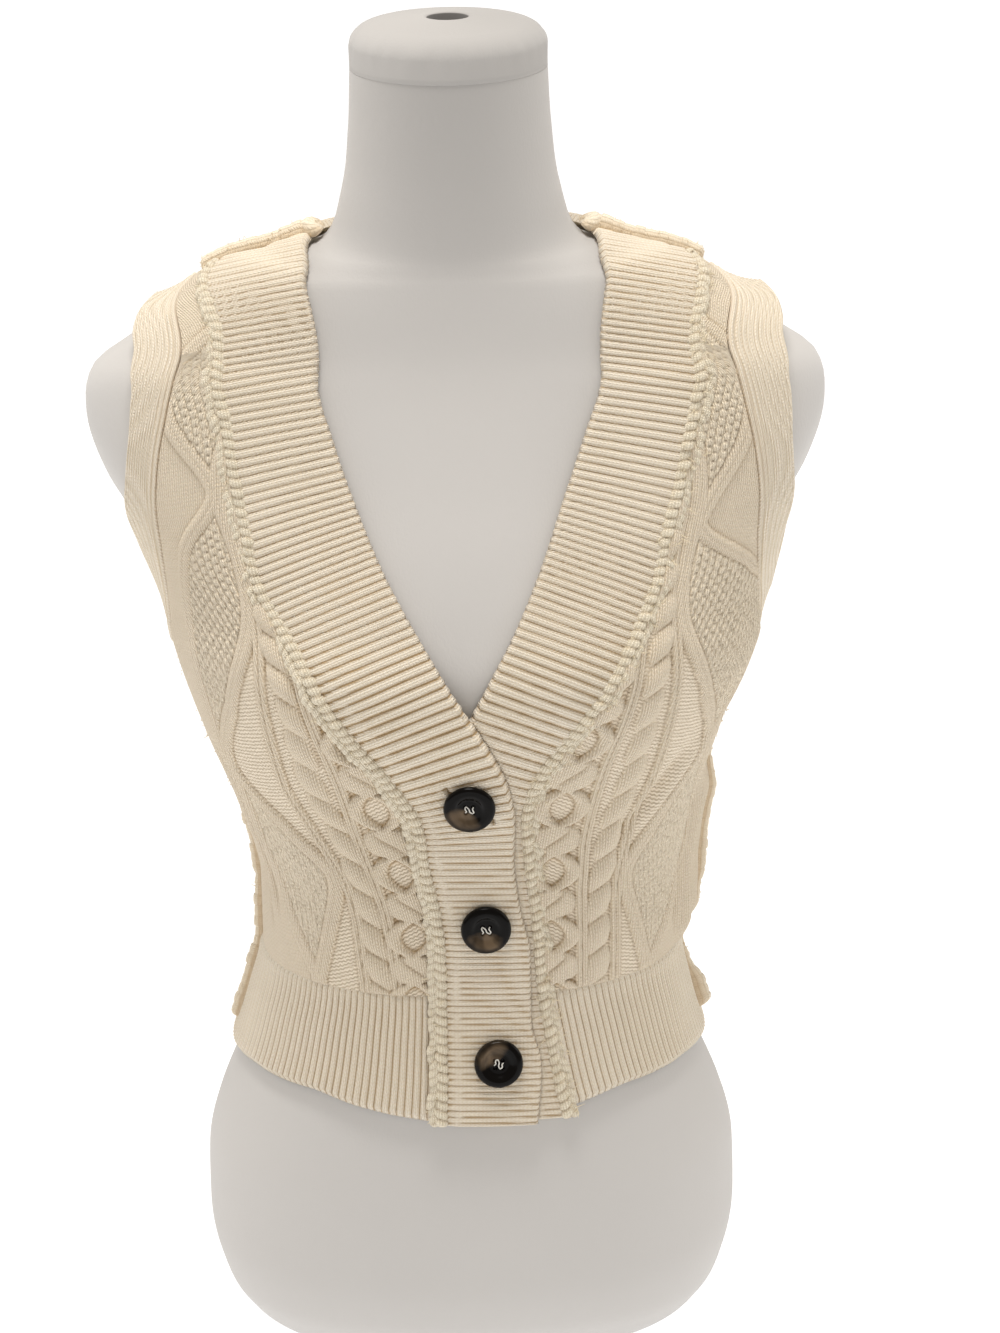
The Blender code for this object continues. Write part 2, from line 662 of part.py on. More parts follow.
def build_back_neck_band(skin, collection):
    """The ribbed band round the back of the neck, its ribs crosswise."""
    knots, free_height, seam_height = columns(BACK_NECK)
    main = np.linspace(SHOULDER_ANGLE, 360.0 - SHOULDER_ANGLE, BACK_CELLS + 1)
    steps = [4] * BACK_CELLS
    across = np.array([0.0, 0.1, 0.93, 1.0])
    ribbed = np.array([0.0, 0.0, 1.0, -0.6])

    def grid(angles, lateral):
        own = 180.0 - abs(180.0 - angles)
        seam_z = smooth_curve(own, knots, seam_height)[:, None]
        free_z = smooth_curve(own, knots, free_height)[:, None]
        return angles[:, None] + 0.0 * lateral, seam_z + (free_z - seam_z) * lateral

    position = refine(BACK_CELLS + 1, steps)
    angle, height = grid(np.interp(position, np.arange(BACK_CELLS + 1), main), across)
    every_other = (np.arange(len(angle)) % 2)[:, None]
    lift = cloth_ease(angle, height) + NECK_BAND_LIFT
    lift = lift + WALL + RIB_RISE * ribbed * every_other - 0.5 * (ribbed < 0)
    outer = on_form(angle, height, lift)
    main_angle, main_height = grid(main, np.array([0.0, 0.5, 1.0]))
    main_lift = cloth_ease(main_angle, main_height) + NECK_BAND_LIFT
    inner = on_form(main_angle, main_height, main_lift)
    mesh = wall_mesh("back_neck_band", outer, inner, marks(steps), [0, 1, 3])
    add_object("back_neck_band", mesh, skin, collection)


# --- ribs, armholes -----------------------------------------------------------------------------

def band_angle_by_rise(band, rise):
    """The band seam's angle beside the hem rib: rise is 0 at the hem and 1 at the rib's top."""
    _, _, angle, height = columns(band[PANEL_ROWS - 1:])
    share = (height - height[-1]) / (height[0] - height[-1])
    return np.interp(rise, share[::-1], angle[::-1])


def build_hem_rib(name, start, end, cells, skin, collection):
    """A stretch of the hem with upright ribs: start gives its first edge's angle at each row."""
    own_knots, own_heights = columns(HEM_EDGE)
    steps = [2 * RIBS_PER_CELL] * cells
    position = refine(cells + 1, steps) / cells
    up = np.array([0.0, 0.06, 0.55, 1.0])
    ribbed = np.array([-0.4, 0.9, 1.0, 0.7])

    def grid(lateral, rise):
        first = start(rise)
        angle = first + (end - first) * lateral[:, None]
        own = 180.0 - abs(180.0 - abs(angle))
        low = smooth_curve(own, own_knots, own_heights)
        return angle, low + (RIB_TOP - low) * rise

    angle, height = grid(position, up)
    every_other = (np.arange(len(position)) % 2)[:, None]
    skin_points = form_point(angle, height)
    from_end = np.minimum(np.linalg.norm(skin_points - skin_points[:1], axis=-1),
                          np.linalg.norm(skin_points - skin_points[-1:], axis=-1))
    ribbed = ribbed * smooth_step(from_end, 3.0, 8.0)
    lift = cloth_ease(angle, height) + WALL + RIB_RISE * ribbed * every_other
    lift = lift - 0.5 * (ribbed < 0)
    outer = on_form(angle, height, lift)
    main_angle, main_height = grid(np.linspace(0.0, 1.0, cells + 1), up[[0, 2, 3]])
    inner = on_form(main_angle, main_height, cloth_ease(main_angle, main_height))
    mesh = wall_mesh(name, outer, inner, marks(steps), [0, 2, 3])
    add_object(name, mesh, skin, collection)


def build_armhole_band(side, skin, collection):
    """A ring round the arm's stump, sewn at its seam edge and standing off at its free edge."""
    last = len(ARMHOLE) - 1
    main = 2 * last
    inside = inside_steps(last)
    inside = inside[::-1] + inside
    steps = [max(2, count) for count in inside]
    at = refine(main + 1, steps)[:-1]
    across = np.array([0.0, 0.1, 0.2, 0.3, 0.4, 0.7, 0.94, 1.0])
    ribbed = np.array([0.0, 0.0, 1.0, 0.0, 1.0, 0.3, 0.3, -0.5])

    free = ARMHOLE_FREE[side]

    def grid(positions, lateral):
        row = last - abs(last - positions)
        behind = positions > last
        seam_angle, seam_height = armhole_line(row, 0, 1, behind)
        free_angle, free_height = armhole_line(row, free, free + 1, behind)
        off = smooth_curve(row, np.arange(last + 1), columns(ARMHOLE)[free + 2])
        seam_angle, seam_height, free_angle, free_height, off = [
            line[:, None] for line in (seam_angle, seam_height, free_angle, free_height, off)]
        angle = side_sign(side) * (seam_angle + (free_angle - seam_angle) * lateral)
        height = seam_height + (free_height - seam_height) * lateral
        return angle, height, cloth_ease(angle, height) + off * lateral ** 2

    angle, height, lift = grid(at, across)
    outer = on_form(angle, height, lift + WALL + RIB_RISE * ribbed - 0.5 * (ribbed < 0))
    inner = on_form(*grid(refine(main + 1, inside)[:-1], across[[0, 3, 5, 7]]))
    mesh = wall_mesh("armhole_band_" + side, outer, inner, marks(steps, inside), [0, 3, 5, 7],
                     ring=True)
    add_object("armhole_band_" + side, mesh, skin, collection)


# --- raised seams -------------------------------------------------------------------------------

def build_raised_seam(name, angle, height, base, half_width, rise, skin, collection):
    """A lumpy half-round roll along a line on the form: base is its lift, rise its height."""
    centre = on_form(angle, height, base)
    normal = form_normal(angle, height)
    along = np.gradient(centre, axis=0)
    along /= np.linalg.norm(along, axis=1, keepdims=True)
    side = np.cross(along, normal)
    side /= np.linalg.norm(side, axis=1, keepdims=True)
    lump = (0.86 + 0.14 * (np.arange(len(centre)) % 2))[:, None]
    width = half_width * np.ones(len(centre))[:, None]
    rise = (rise * np.ones(len(centre)))[:, None]
    outline = ((-1.0, 0.0), (-0.75, 0.75), (0.0, 1.0), (0.75, 0.75), (1.0, 0.0))
    mesh = bmesh.new()
    rings = []
    for across, up in outline:
        line = centre + side * width * across * (lump if up else 1.0) + normal * rise * up * lump
        rings.append([mesh.verts.new(Vector(p) * MM) for p in line])
    for first, second in zip(rings, rings[1:] + rings[:1]):
        for a, b, c, d in zip(first, first[1:], second[1:], second):
            mesh.faces.new((a, b, c, d))
    mesh.faces.new([ring[0] for ring in rings])
    mesh.faces.new([ring[-1] for ring in rings][::-1])
    bmesh.ops.recalc_face_normals(mesh, faces=mesh.faces)
    made = bpy.data.meshes.new(name)
    mesh.to_mesh(made)
    mesh.free()
    add_object(name, made, skin, collection)


def build_band_seam(side, table, skin, collection):
    """The raised seam between a front band and its panel, down to the hem."""
    rows = len(table)
    steps = [2 * count for count in inside_steps(rows - 1)]
    angle, height = band_seam(table, refine(rows, steps)[2:])
    world = side_sign(side) * angle
    base = cloth_ease(world, height) + WALL + SEAM_CLEARANCE
    if side == "right":
        base = base + overlap_lift(height, 0.12)
    build_raised_seam("band_seam_" + side, world, height, base, BAND_SEAM_HALF_WIDTH,
                      BAND_SEAM_RISE, skin, collection)


def build_shoulder_seam(side, skin, collection):
    """The raised seam across the band and the panel at the shoulder."""
    height = np.linspace(614.5, 578.5, 9)
    angle = side_sign(side) * np.full(len(height), SHOULDER_ANGLE)
    base = EASE + WALL + RIB_RISE + SEAM_CLEARANCE + 0.3
    build_raised_seam("shoulder_seam_" + side, angle, height, base, BAND_SEAM_HALF_WIDTH,
                      SHOULDER_SEAM_RISE, skin, collection)


def build_side_seam(side, skin, collection):
    """The raised seam down the side: low under the arm, standing out towards the hem."""
    height = np.linspace(374.0, 171.0, 26)
    angle = side_sign(side) * np.full(len(height), SIDE_ANGLE)
    base = cloth_ease(angle, height) + WALL + 0.6 * RIB_RISE + SEAM_CLEARANCE
    rise = SIDE_SEAM_RISE * (0.3 + 0.7 * (1.0 - smooth_step(height, 290.0, 350.0)))
    build_raised_seam("side_seam_" + side, angle, height, base, SIDE_SEAM_HALF_WIDTH, rise,
                      skin, collection)


# --- buttons ------------------------------------------------------------------------------------

def build_button(name, angle, height, skin, collection, cutters):
    """A turned button with a rim, a well and four thread holes, flat on the band."""
    lift = EASE + OVERLAP_LIFT + WALL + RIB_RISE + SEAM_CLEARANCE
    seat = on_form(angle, height, lift)
    outward = Vector(form_normal(angle, height))
    profile = (
        (0.0, BUTTON_THICKNESS - BUTTON_WELL_DEPTH),
        (BUTTON_WELL_RADIUS - 1.2, BUTTON_THICKNESS - BUTTON_WELL_DEPTH),
        (BUTTON_WELL_RADIUS + 0.6, BUTTON_THICKNESS - 0.2),
        (BUTTON_RADIUS - 2.6, BUTTON_THICKNESS),
        (BUTTON_RADIUS - 0.7, BUTTON_THICKNESS - 0.8),
        (BUTTON_RADIUS, BUTTON_THICKNESS * 0.5),
        (BUTTON_RADIUS - 1.6, 0.0),
        (0.0, 0.0),
    )
    button = turned(name, profile, 16, skin, collection)
    button.matrix_world = (Matrix.Translation(Vector(seat) * MM)
                           @ outward.to_track_quat("Z", "Y").to_matrix().to_4x4())
    bpy.ops.mesh.primitive_cylinder_add(vertices=6, radius=BUTTON_HOLE_RADIUS * MM,
                                        depth=3 * BUTTON_THICKNESS * MM)
    drill = bpy.context.object
    drill_mesh = drill.data.copy()
    bpy.data.objects.remove(drill)
    holes = bmesh.new()
    for quarter in range(4):
        turn = math.radians(45 + 90 * quarter)
        copy = drill_mesh.copy()
        reach = BUTTON_HOLE_OFFSET * math.sqrt(2.0) * MM
        copy.transform(Matrix.Translation((reach * math.cos(turn), reach * math.sin(turn), 0)))
        holes.from_mesh(copy)
        bpy.data.meshes.remove(copy)
    cutter_mesh = bpy.data.meshes.new(name + "_holes")
    holes.to_mesh(cutter_mesh)
    holes.free()
    cutter = bpy.data.objects.new(name + "_holes", cutter_mesh)
    cutters.objects.link(cutter)
    cutter.matrix_world = button.matrix_world
    cutter.hide_render = True
    cutter.display_type = "WIRE"
    cut = button.modifiers.new("thread_holes", "BOOLEAN")
    cut.object = cutter
    cut.operation = "DIFFERENCE"


# --- everything ---------------------------------------------------------------------------------

def main():
    for old in list(bpy.data.objects):
        bpy.data.objects.remove(old)
    parts = bpy.data.collections.new("sweater_vest")
    cutters = bpy.data.collections.new("cutters")
    bpy.context.scene.collection.children.link(parts)
    bpy.context.scene.collection.children.link(cutters)
    knit = material("cream_knit", CREAM, 0.9)
    jersey = material("white_jersey", JERSEY, 0.85)
    horn = material("dark_horn", HORN, 0.25)

    build_form(jersey, parts)
    build_cap(jersey, parts)
    for side, band, wales in (("right", BAND_RIGHT, WALES_RIGHT), ("left", BAND_LEFT, WALES_LEFT)):
        sign = side_sign(side)
        build_front_band(side, band, knit, parts)
        build_front_panel(side, band, wales, knit, parts)
        build_armhole_band(side, knit, parts)
        build_band_seam(side, band, knit, parts)
        build_shoulder_seam(side, knit, parts)
        build_side_seam(side, knit, parts)
        build_hem_rib("hem_rib_front_" + side, lambda rise: sign * band_angle_by_rise(band, rise),
                      sign * SIDE_ANGLE, 7, knit, parts)
    build_back_panel(knit, parts)
    build_back_neck_band(knit, parts)
    build_hem_rib("hem_rib_back", lambda rise: SIDE_ANGLE + 0.0 * rise, 360.0 - SIDE_ANGLE, 14,
                  knit, parts)
    for name, angle, height in BUTTONS:
        build_button(name, angle, height, horn, parts, cutters)


main()
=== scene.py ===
"""A cream cable-knit sweater vest on a white jersey dress form.

Every piece of cloth is a thin shell whose points lie off the form by a lift: its ease, its
thickness and its knitted relief. Lengths in the tables are in mm and angles in degrees, 0 at the
centre front, 90 at the side and 180 at the centre back. The front faces -Y, the wearer's left +X.
"""

import math

import bpy
import numpy as np
from mathutils import Matrix, Vector


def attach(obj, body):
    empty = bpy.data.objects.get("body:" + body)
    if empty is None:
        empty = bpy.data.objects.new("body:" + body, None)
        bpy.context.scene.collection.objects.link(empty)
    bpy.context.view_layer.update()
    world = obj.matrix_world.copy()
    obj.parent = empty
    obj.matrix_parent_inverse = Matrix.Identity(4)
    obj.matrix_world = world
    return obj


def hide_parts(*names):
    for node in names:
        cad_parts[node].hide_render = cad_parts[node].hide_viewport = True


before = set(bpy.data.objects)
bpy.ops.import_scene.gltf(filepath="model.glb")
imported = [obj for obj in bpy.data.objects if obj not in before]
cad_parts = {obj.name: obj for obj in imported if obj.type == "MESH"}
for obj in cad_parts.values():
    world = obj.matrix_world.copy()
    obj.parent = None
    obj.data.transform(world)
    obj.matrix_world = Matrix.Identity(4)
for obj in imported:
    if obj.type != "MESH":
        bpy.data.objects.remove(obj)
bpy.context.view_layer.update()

bl_info = {
    "name": "Cable-knit vest on a dress form",
    "version": (1, 0, 0),
    "blender": (4, 5, 0),
    "location": "3D View > Sidebar > Vest",
    "description": "Builds a cropped cable-knit vest, its buttons and the form that wears it",
    "category": "Add Mesh",
}

MM = 0.001

# --- the form ---

# One row a level. Columns: height, half width, front depth, back depth, squareness.
FORM_SECTIONS = (
    (0, 98, 62, 66, 2.3),
    (8, 114, 76, 80, 2.3),
    (22, 128, 88, 93, 2.3),
    (45, 138, 97, 103, 2.3),
    (75, 142.5, 101, 108, 2.3),
    (105, 142, 102, 109, 2.3),
    (130, 136, 101, 107, 2.3),
    (150, 128, 99, 103, 2.3),
    (168, 119.5, 97, 98.5, 2.3),
    (195, 110.5, 92, 91, 2.3),
    (225, 103.5, 88, 85, 2.3),
    (262, 103.5, 88, 83, 2.3),
    (305, 114, 92, 86, 2.3),
    (350, 131, 100, 91, 2.3),
    (395, 145, 103, 96, 2.3),
    (425, 151, 97, 99, 2.2),
    (455, 163, 88, 99, 2.2),
    (485, 181, 77, 95, 2.2),
    (520, 190.5, 66, 86, 2.2),
    (540, 186, 60, 78, 2.2),
    (553, 168, 56.5, 72, 2.1),
    (565, 147, 54, 67, 2.1),
    (580, 121, 51, 61, 2.0),
    (595, 97, 49.5, 56, 2.0),
    (608, 78, 48.6, 53, 2.0),
    (622, 64, 48.2, 51, 2.0),
    (640, 55.5, 48, 50, 2.0),
    (665, 51.5, 48.6, 50, 2.0),
    (692, 50, 49.5, 50, 2.0),
)
# How far the skin's sections shift up, by height: it squares the shoulders.
SHOULDER_SHIFT = (
    (500, 0), (540, 0), (553, 0.5), (565, 2.5), (577, 6), (587, 3.5), (597, -3), (608, -8.5),
    (617, -14), (625, -15.5), (640, -9), (665, -3), (692, 0),
)
BUST_RISE = 14.0
BUST_X = 72.0
BUST_HEIGHT = 398.0
BUST_HALF_WIDTH = 42.0
BUST_HALF_HEIGHT = 48.0
CAP_RADIUS = 50.0
CAP_THICKNESS = 22.0
CAP_DOME = 3.5
CAP_CORNER = 11.0
CAP_HOLE_RADIUS = 10.5

# --- the cloth ---

EASE = 2.5
WALL = 3.0
WAIST_EASE_LEFT = 7.0
WAIST_HEIGHT = 262.0
WAIST_SPAN = 62.0
CHEST_EASE_LEFT = 5.0
CHEST_HEIGHT = 410.0
CHEST_SPAN = 45.0
NECK_BAND_LIFT = 0.5
SHOULDER_ANGLE = 97.0
SIDE_ANGLE = 91.0
RIB_TOP = 223.0

# The front bands. Columns: free edge's angle and height, seam's angle and height.
BAND_RIGHT = (
    (97, 617, 97, 583),
    (58, 603, 61, 570),
    (37, 580, 46, 556),
    (25, 557, 38.5, 535),
    (20, 525, 36.5, 508),
    (17, 490, 37, 478),
    (14, 455, 39, 450),
    (9, 425, 35, 424),
    (3, 398, 29, 398),
    (-3.5, 374, 23.5, 374),
    (-9, 350, 17, 350),
    (-12, 325, 11.5, 325),
    (-12.5, 297, 10.5, 297),
    (-15, 270, 8.5, 270),
    (-17.5, 247, 7.5, 247),
    (-17.5, 223, 7.5, 223),
    (-17, 205, 7.3, 205),
    (-18.5, 186, 7.1, 186),
    (-15.5, 154, 6.8, 155),
)
BAND_LEFT = (
    (97, 617, 97, 583),
    (60, 603, 64, 571),
    (39, 580, 47, 556),
    (27, 557, 40, 535),
    (21, 525, 37.5, 508),
    (17.5, 490, 37, 478),
    (15, 455, 38, 450),
    (11, 425, 35.5, 424),
    (5.5, 398, 30, 398),
    (0.5, 374, 23.5, 374),
    (-3.5, 350, 17.5, 350),
    (-4.5, 325, 15, 325),
    (-4, 297, 17, 297),
    (-2, 270, 19.5, 270),
    (-1, 247, 20.5, 247),
    (-0.5, 223, 21.3, 223),
    (0.5, 205, 22, 205),
    (1.5, 186, 22.6, 186),
    (2.5, 156, 23.6, 155),
)
PANEL_ROWS = 16
# The bands' ribs, by their height as seen from 19 degrees above: their distance apart and the
# degrees by which each rises towards its free edge. Columns: seen height, pitch, slope.
LOOK_DOWN = 19.0
BAND_RIBS = (
    (100, 3.2, -1),
    (240, 3.35, -1),
    (262, 3.4, 1),
    (282, 3.6, 10),
    (303, 4.8, 17),
    (334, 4.2, 20.5),
    (366, 4.0, 22),
    (394, 3.8, 21),
    (415, 4.0, 18),
    (436, 4.25, 14),
    (452, 4.3, 11.5),
    (491, 4.15, 8.5),
    (535, 3.3, 8.5),
    (570, 3.1, 8.5),
)

# The armhole. Columns: seam's angle and height, then angle, height and stand-off of the free edge
# on the right and of the one on the left.
ARMHOLE = (
    (91, 388, 91, 416, 1.0, 91, 416, 3.5),
    (82.5, 400, 86, 424, 1.0, 86, 424, 3.5),
    (74, 425, 82, 444, 1.2, 82, 444, 3.5),
    (66, 452, 74, 467, 1.2, 74, 467, 3.0),
    (57, 482, 65, 489, 1.2, 66, 489, 3.0),
    (51, 512, 59.5, 512, 1.5, 61.5, 512, 3.2),
    (49, 535, 58.5, 532, 2.0, 61, 532, 4.0),
    (53, 551, 64.5, 547, 3.0, 66, 546, 5.5),
    (66, 563, 77, 556, 4.5, 78, 555, 7.5),
    (97, 575.5, 97, 564, 5.0, 97, 561.5, 8.5),
)
ARMHOLE_FREE = {"right": 2, "left": 5}
SIDE_HEIGHTS = (356, 328, 300, 273, 248, 223)
HEM_EDGE = ((0, 155), (7, 156), (25, 161), (45, 167), (65, 167), (91, 162), (135, 165), (180, 162))
BACK_NECK = ((97, 617, 583), (118, 614, 580), (145, 612, 568), (180, 612, 562))

# The knitted columns. Columns: height, ring cable, twin rib, rope, outer twin rib, diamond's two
# borders.
WALES_RIGHT = (
    (228, 15.5, 19.5, 24.5, 29.5, 45, 46),
    (262, 15.5, 22, 27.5, 31.5, 40, 58),
    (286, 17, 24.5, 29, 33.5, 37, 62),
    (311, 19.5, 27, 31, 39, 48.5, 64),
    (345, 22.5, 28.5, 35.5, 44, 63, 64),
    (383, 26, 31.5, 36, 43, 53, 64),
    (427, 30, 34, 38.5, 41, 43, 62.5),
    (456, 32, 36, 38, 40, 41.5, 56),
    (490, 30, 33, 36, 38.5, 40.5, 41.5),
    (525, 27, 30, 32.5, 34, 35.5, 49),
    (560, 22, 24, 26, 28, 30, 52),
)
WALES_LEFT = (
    (228, 26, 33, 38, 44, 56, 58.5),
    (262, 24.5, 33, 38, 44, 50, 71),
    (286, 24, 32, 38, 43.5, 46, 74),
    (311, 23.5, 31, 38, 44, 53, 72),
    (352, 25, 32, 40, 47.5, 65, 67.5),
    (383, 28, 34.5, 40, 46.5, 57, 79),
    (421, 31, 36, 41, 44, 46, 82),
    (442, 31.5, 36, 40, 42.5, 44, 66),
    (471, 31.5, 35, 38, 41, 43, 44),
    (508, 29.5, 32.5, 35, 37.5, 39, 49),
    (560, 24, 26, 28, 30, 32, 54),
)

# The cables. A start is the seen height at which a repeat begins on the fronts.
RING_START, RING_PITCH, RING_HALF, RING_STRAND, RING_SHIFT = 288.4, 33.3, 11.0, 4.4, 1.4
ROPE_START, ROPE_PITCH, ROPE_HALF = 324.0, 16.6, 7.8
TWIN_SPACING, TWIN_HALF, BORDER_HALF = 3.2, 1.7, 4.6
# The last: the share of painted light on the moss, which also cuts its painted shade.
MOSS_CELL, MOSS_CELL_LOW, MOSS_LOW_TOP, MOSS_PAINTED_LIGHT = 4.6, 3.5, 320.0, 0.4
MOSS_EDGE = (3.6, 5.5)     # where it starts and is full, from its borders' middles
RING_OPEN = 0.56           # the share of a turn for which the ring's strands are apart
# The same on the back: distances from its middle, and its diamonds' half width and length.
BACK_RING, BACK_ROPE, BACK_TWINS, BACK_DIAMOND = 37.5, 67.5, (52.5, 82.5), 112.0
DIAMOND_HALF, DIAMOND_LENGTH, DIAMOND_START = 22.0, 130.0, 5.0

OVERLAP_LIFT = WALL + 1.1
OVERLAP_TOP = 424.0
OVERLAP_FULL = 390.0

# Columns: name, angle, height, turn of its markings, radius.
BUTTONS = (
    ("top", 1.3, 336, -0.55, 13.3),
    ("middle", 5.3, 263.5, -0.1, 13.0),
    ("bottom", 7.4, 188, -2.5, 12.7),
)
BUTTON_THICKNESS = 4.2
# The top buttonhole's end, a groove: how far it falls in each degree, its half width, its depth,
# and the distances from the button's middle at which it starts to fade and is gone.
SLIT_SLOPE, SLIT_HALF_WIDTH, SLIT_DEPTH, SLIT_ENDS = 1.7, 1.3, 2.4, (9.6, 10.8)
BAND_MM_PER_DEGREE = 1.75

# How far the side seams stand out. Columns: height, right, left.
SIDE_FLANGE = (
    (171, 7.4, 7.5),
    (178, 7.2, 10.0),
    (188, 6.8, 9.4),
    (196, 6.4, 5.4),
    (215, 6.0, 2.8),
    (236, 5.0, 3.2),
    (250, 4.6, 4.6),
    (256, 3.6, 6.2),
    (262, 5.0, 6.8),
    (285, 4.6, 6.0),
    (300, 3.0, 5.2),
    (330, 2.2, 3.6),
    (350, 1.9, 2.0),
    (384, 1.7, 1.7),
)

MM_PER_DEGREE = 1.9        # round the waist, for a crease's slant and width
# The creases. Columns: from angle and height, to angle and height (wearer's left is positive),
# half width, depth (a ridge is negative).
CREASES = (
    (58, 352, 40, 306, 4.0, 2.2),
    (66, 356, 46, 308, 5.0, -2.0),
    (72.5, 330, 74, 232, 2.8, 2.0),
    (79.5, 322, 80.5, 222, 6.5, -6.5),
    (81, 320, 82, 236, 3.0, 3.2),
    (90, 322, 90, 222, 7.0, -7.0),
    (86, 292, 87, 221, 8.0, -2.5),
    (-62, 330, -50, 262, 6.0, 1.2),
    (-73, 350, -64, 252, 1.8, 1.5),
    (-78, 345, -69, 240, 1.8, 1.3),
    (-70, 322, -66, 250, 5.5, -1.4),
    (-79, 300, -76, 246, 5.0, 1.2),
    (118, 330, 104, 250, 6.0, 1.6),
    (128, 318, 122, 248, 6.5, -1.8),
    (-114, 334, -104, 256, 6.0, 1.5),
    (-127, 316, -119, 250, 6.0, -1.6),
    (150, 300, 146, 246, 8.0, -1.2),
    (-146, 296, -150, 244, 8.0, 1.1),
    (140, 552, 122, 500, 8.0, 1.3),
    (-138, 550, -124, 496, 8.0, 1.3),
)


# --- curves and surfaces ---

def smooth_step(value, low, high):
    """0 below low, 1 above high, and the cubic 3t^2 - 2t^3 between."""
    t = np.clip((np.asarray(value, float) - low) / (high - low), 0.0, 1.0)
    return t * t * (3.0 - 2.0 * t)


def smooth_curve(at, knots, values):
    """Cubic pieces through the values, with slopes limited so that none overshoots."""
    knots = np.asarray(knots, float)
    values = np.asarray(values, float)
    rise = np.diff(values) / np.diff(knots)
    slope = np.gradient(values, knots)
    inner = np.where(rise[:-1] * rise[1:] <= 0.0, 0.0, 1.0)
    limit = 3.0 * np.minimum(abs(rise[:-1]), abs(rise[1:]))
    slope[1:-1] = inner * np.sign(slope[1:-1]) * np.minimum(abs(slope[1:-1]), limit)
    at = np.clip(np.asarray(at, float), knots[0], knots[-1])
    i = np.clip(np.searchsorted(knots, at) - 1, 0, len(knots) - 2)
    step = knots[i + 1] - knots[i]
    t = (at - knots[i]) / step
    return ((1 + 2 * t) * (1 - t) ** 2 * values[i] + t * (1 - t) ** 2 * step * slope[i]
            + t * t * (3 - 2 * t) * values[i + 1] + t * t * (t - 1) * step * slope[i + 1])


def columns(table):
    """The table's columns as arrays."""
    return np.asarray(table, float).T


FORM_HEIGHT, FORM_HALF, FORM_FRONT, FORM_BACK, FORM_SQUARE = columns(FORM_SECTIONS)


def form_point(angle, height):
    """The skin: x = a sin t and |y| = b (1 - |sin t|^n)^(1/n), plus the bust's bell curve."""
    angle, height = np.broadcast_arrays(np.asarray(angle, float), np.asarray(height, float))
    half = smooth_curve(height, FORM_HEIGHT, FORM_HALF)
    front = smooth_curve(height, FORM_HEIGHT, FORM_FRONT)
    back = smooth_curve(height, FORM_HEIGHT, FORM_BACK)
    square = smooth_curve(height, FORM_HEIGHT, FORM_SQUARE)
    sine = np.sin(np.radians(angle))
    cosine = np.cos(np.radians(angle))
    level = height + smooth_curve(height, *columns(SHOULDER_SHIFT))
    x = half * sine
    depth = np.maximum(1.0 - abs(sine) ** square, 0.0) ** (1.0 / square)
    y = np.where(cosine >= 0.0, -front, back) * depth
    bust = BUST_RISE * np.exp(-((abs(x) - BUST_X) / BUST_HALF_WIDTH) ** 2
                              - ((height - BUST_HEIGHT) / BUST_HALF_HEIGHT) ** 2)
    return np.stack([x, y - bust * np.clip(cosine, 0.0, 1.0), level], -1)


def unit(vectors):
    """The vectors divided by their lengths."""
    return vectors / np.linalg.norm(vectors, axis=-1, keepdims=True)


def form_normal(angle, height):
    """The skin's outward direction: the cross product of small steps round and up."""
    around = form_point(angle + 0.06, height) - form_point(angle - 0.06, height)
    upward = form_point(angle, height + 0.5) - form_point(angle, height - 0.5)
    return unit(np.cross(around, upward))


def on_form(angle, height, lift):
    """Skin points moved out along the skin's normal by the lift."""
    angle, height = np.broadcast_arrays(np.asarray(angle, float), np.asarray(height, float))
    return form_point(angle, height) + form_normal(angle, height) * np.asarray(lift)[..., None]


def creases(angle, height):
    """Soft troughs and ridges: each a bell curve across its line, fading at its two ends."""
    angle = (np.asarray(angle, float) + 180.0) % 360.0 - 180.0
    total = np.zeros(np.broadcast(angle, height).shape)
    for angle0, height0, angle1, height1, half_width, depth in CREASES:
        run_x, run_z = (angle1 - angle0) * MM_PER_DEGREE, height1 - height0
        length = math.hypot(run_x, run_z)
        dx, dz = (angle - angle0) * MM_PER_DEGREE, height - height0
        along = (dx * run_x + dz * run_z) / length
        across = (dx * run_z - dz * run_x) / length
        ends = smooth_step(along, -6.0, 16.0)
        ends = ends * (1.0 - smooth_step(along, length - 16.0, length + 6.0))
        total = total - depth * ends * np.exp(-(across / half_width) ** 2)
    return total


def cloth_ease(angle, height):
    """The cloth's inside off the form: its ease, looser on the left side, and its creases."""
    side = np.clip(np.sin(np.radians(angle)), 0.0, 1.0) ** 2
    waist = np.exp(-((height - WAIST_HEIGHT) / WAIST_SPAN) ** 2)
    chest = np.exp(-((height - CHEST_HEIGHT) / CHEST_SPAN) ** 2)
    return (EASE + side * (WAIST_EASE_LEFT * waist + CHEST_EASE_LEFT * chest)
            + creases(angle, height))


def overlap_lift(height, across):
    """The right band's lift over the left one: across is 0 at the seam and 1 at the free edge."""
    return (OVERLAP_LIFT * (1.0 - smooth_step(height, OVERLAP_FULL, OVERLAP_TOP))
            * (0.5 + 0.5 * smooth_step(across, 0.0, 0.2)))


def lengths(points, axis):
    """Distance along the grid's rows or columns, summed from the first point."""
    steps = np.linalg.norm(np.diff(points, axis=axis), axis=-1)
    pad = [(0, 0)] * steps.ndim
    pad[axis] = (1, 0)
    return np.cumsum(np.pad(steps, pad), axis=axis)


def even_positions(line, last, count):
    """Positions 0 .. last along a line of points, evenly spaced by length."""
    dense = np.linspace(0.0, last, 3000)
    run = lengths(line(dense), 0)
    return np.interp(np.linspace(0.0, run[-1], count), run, dense)


def seen_height(points):
    """Height square to a line that looks down on the front by LOOK_DOWN degrees."""
    look = math.radians(LOOK_DOWN)
    return points[..., 2] * math.cos(look) + points[..., 1] * math.sin(look)


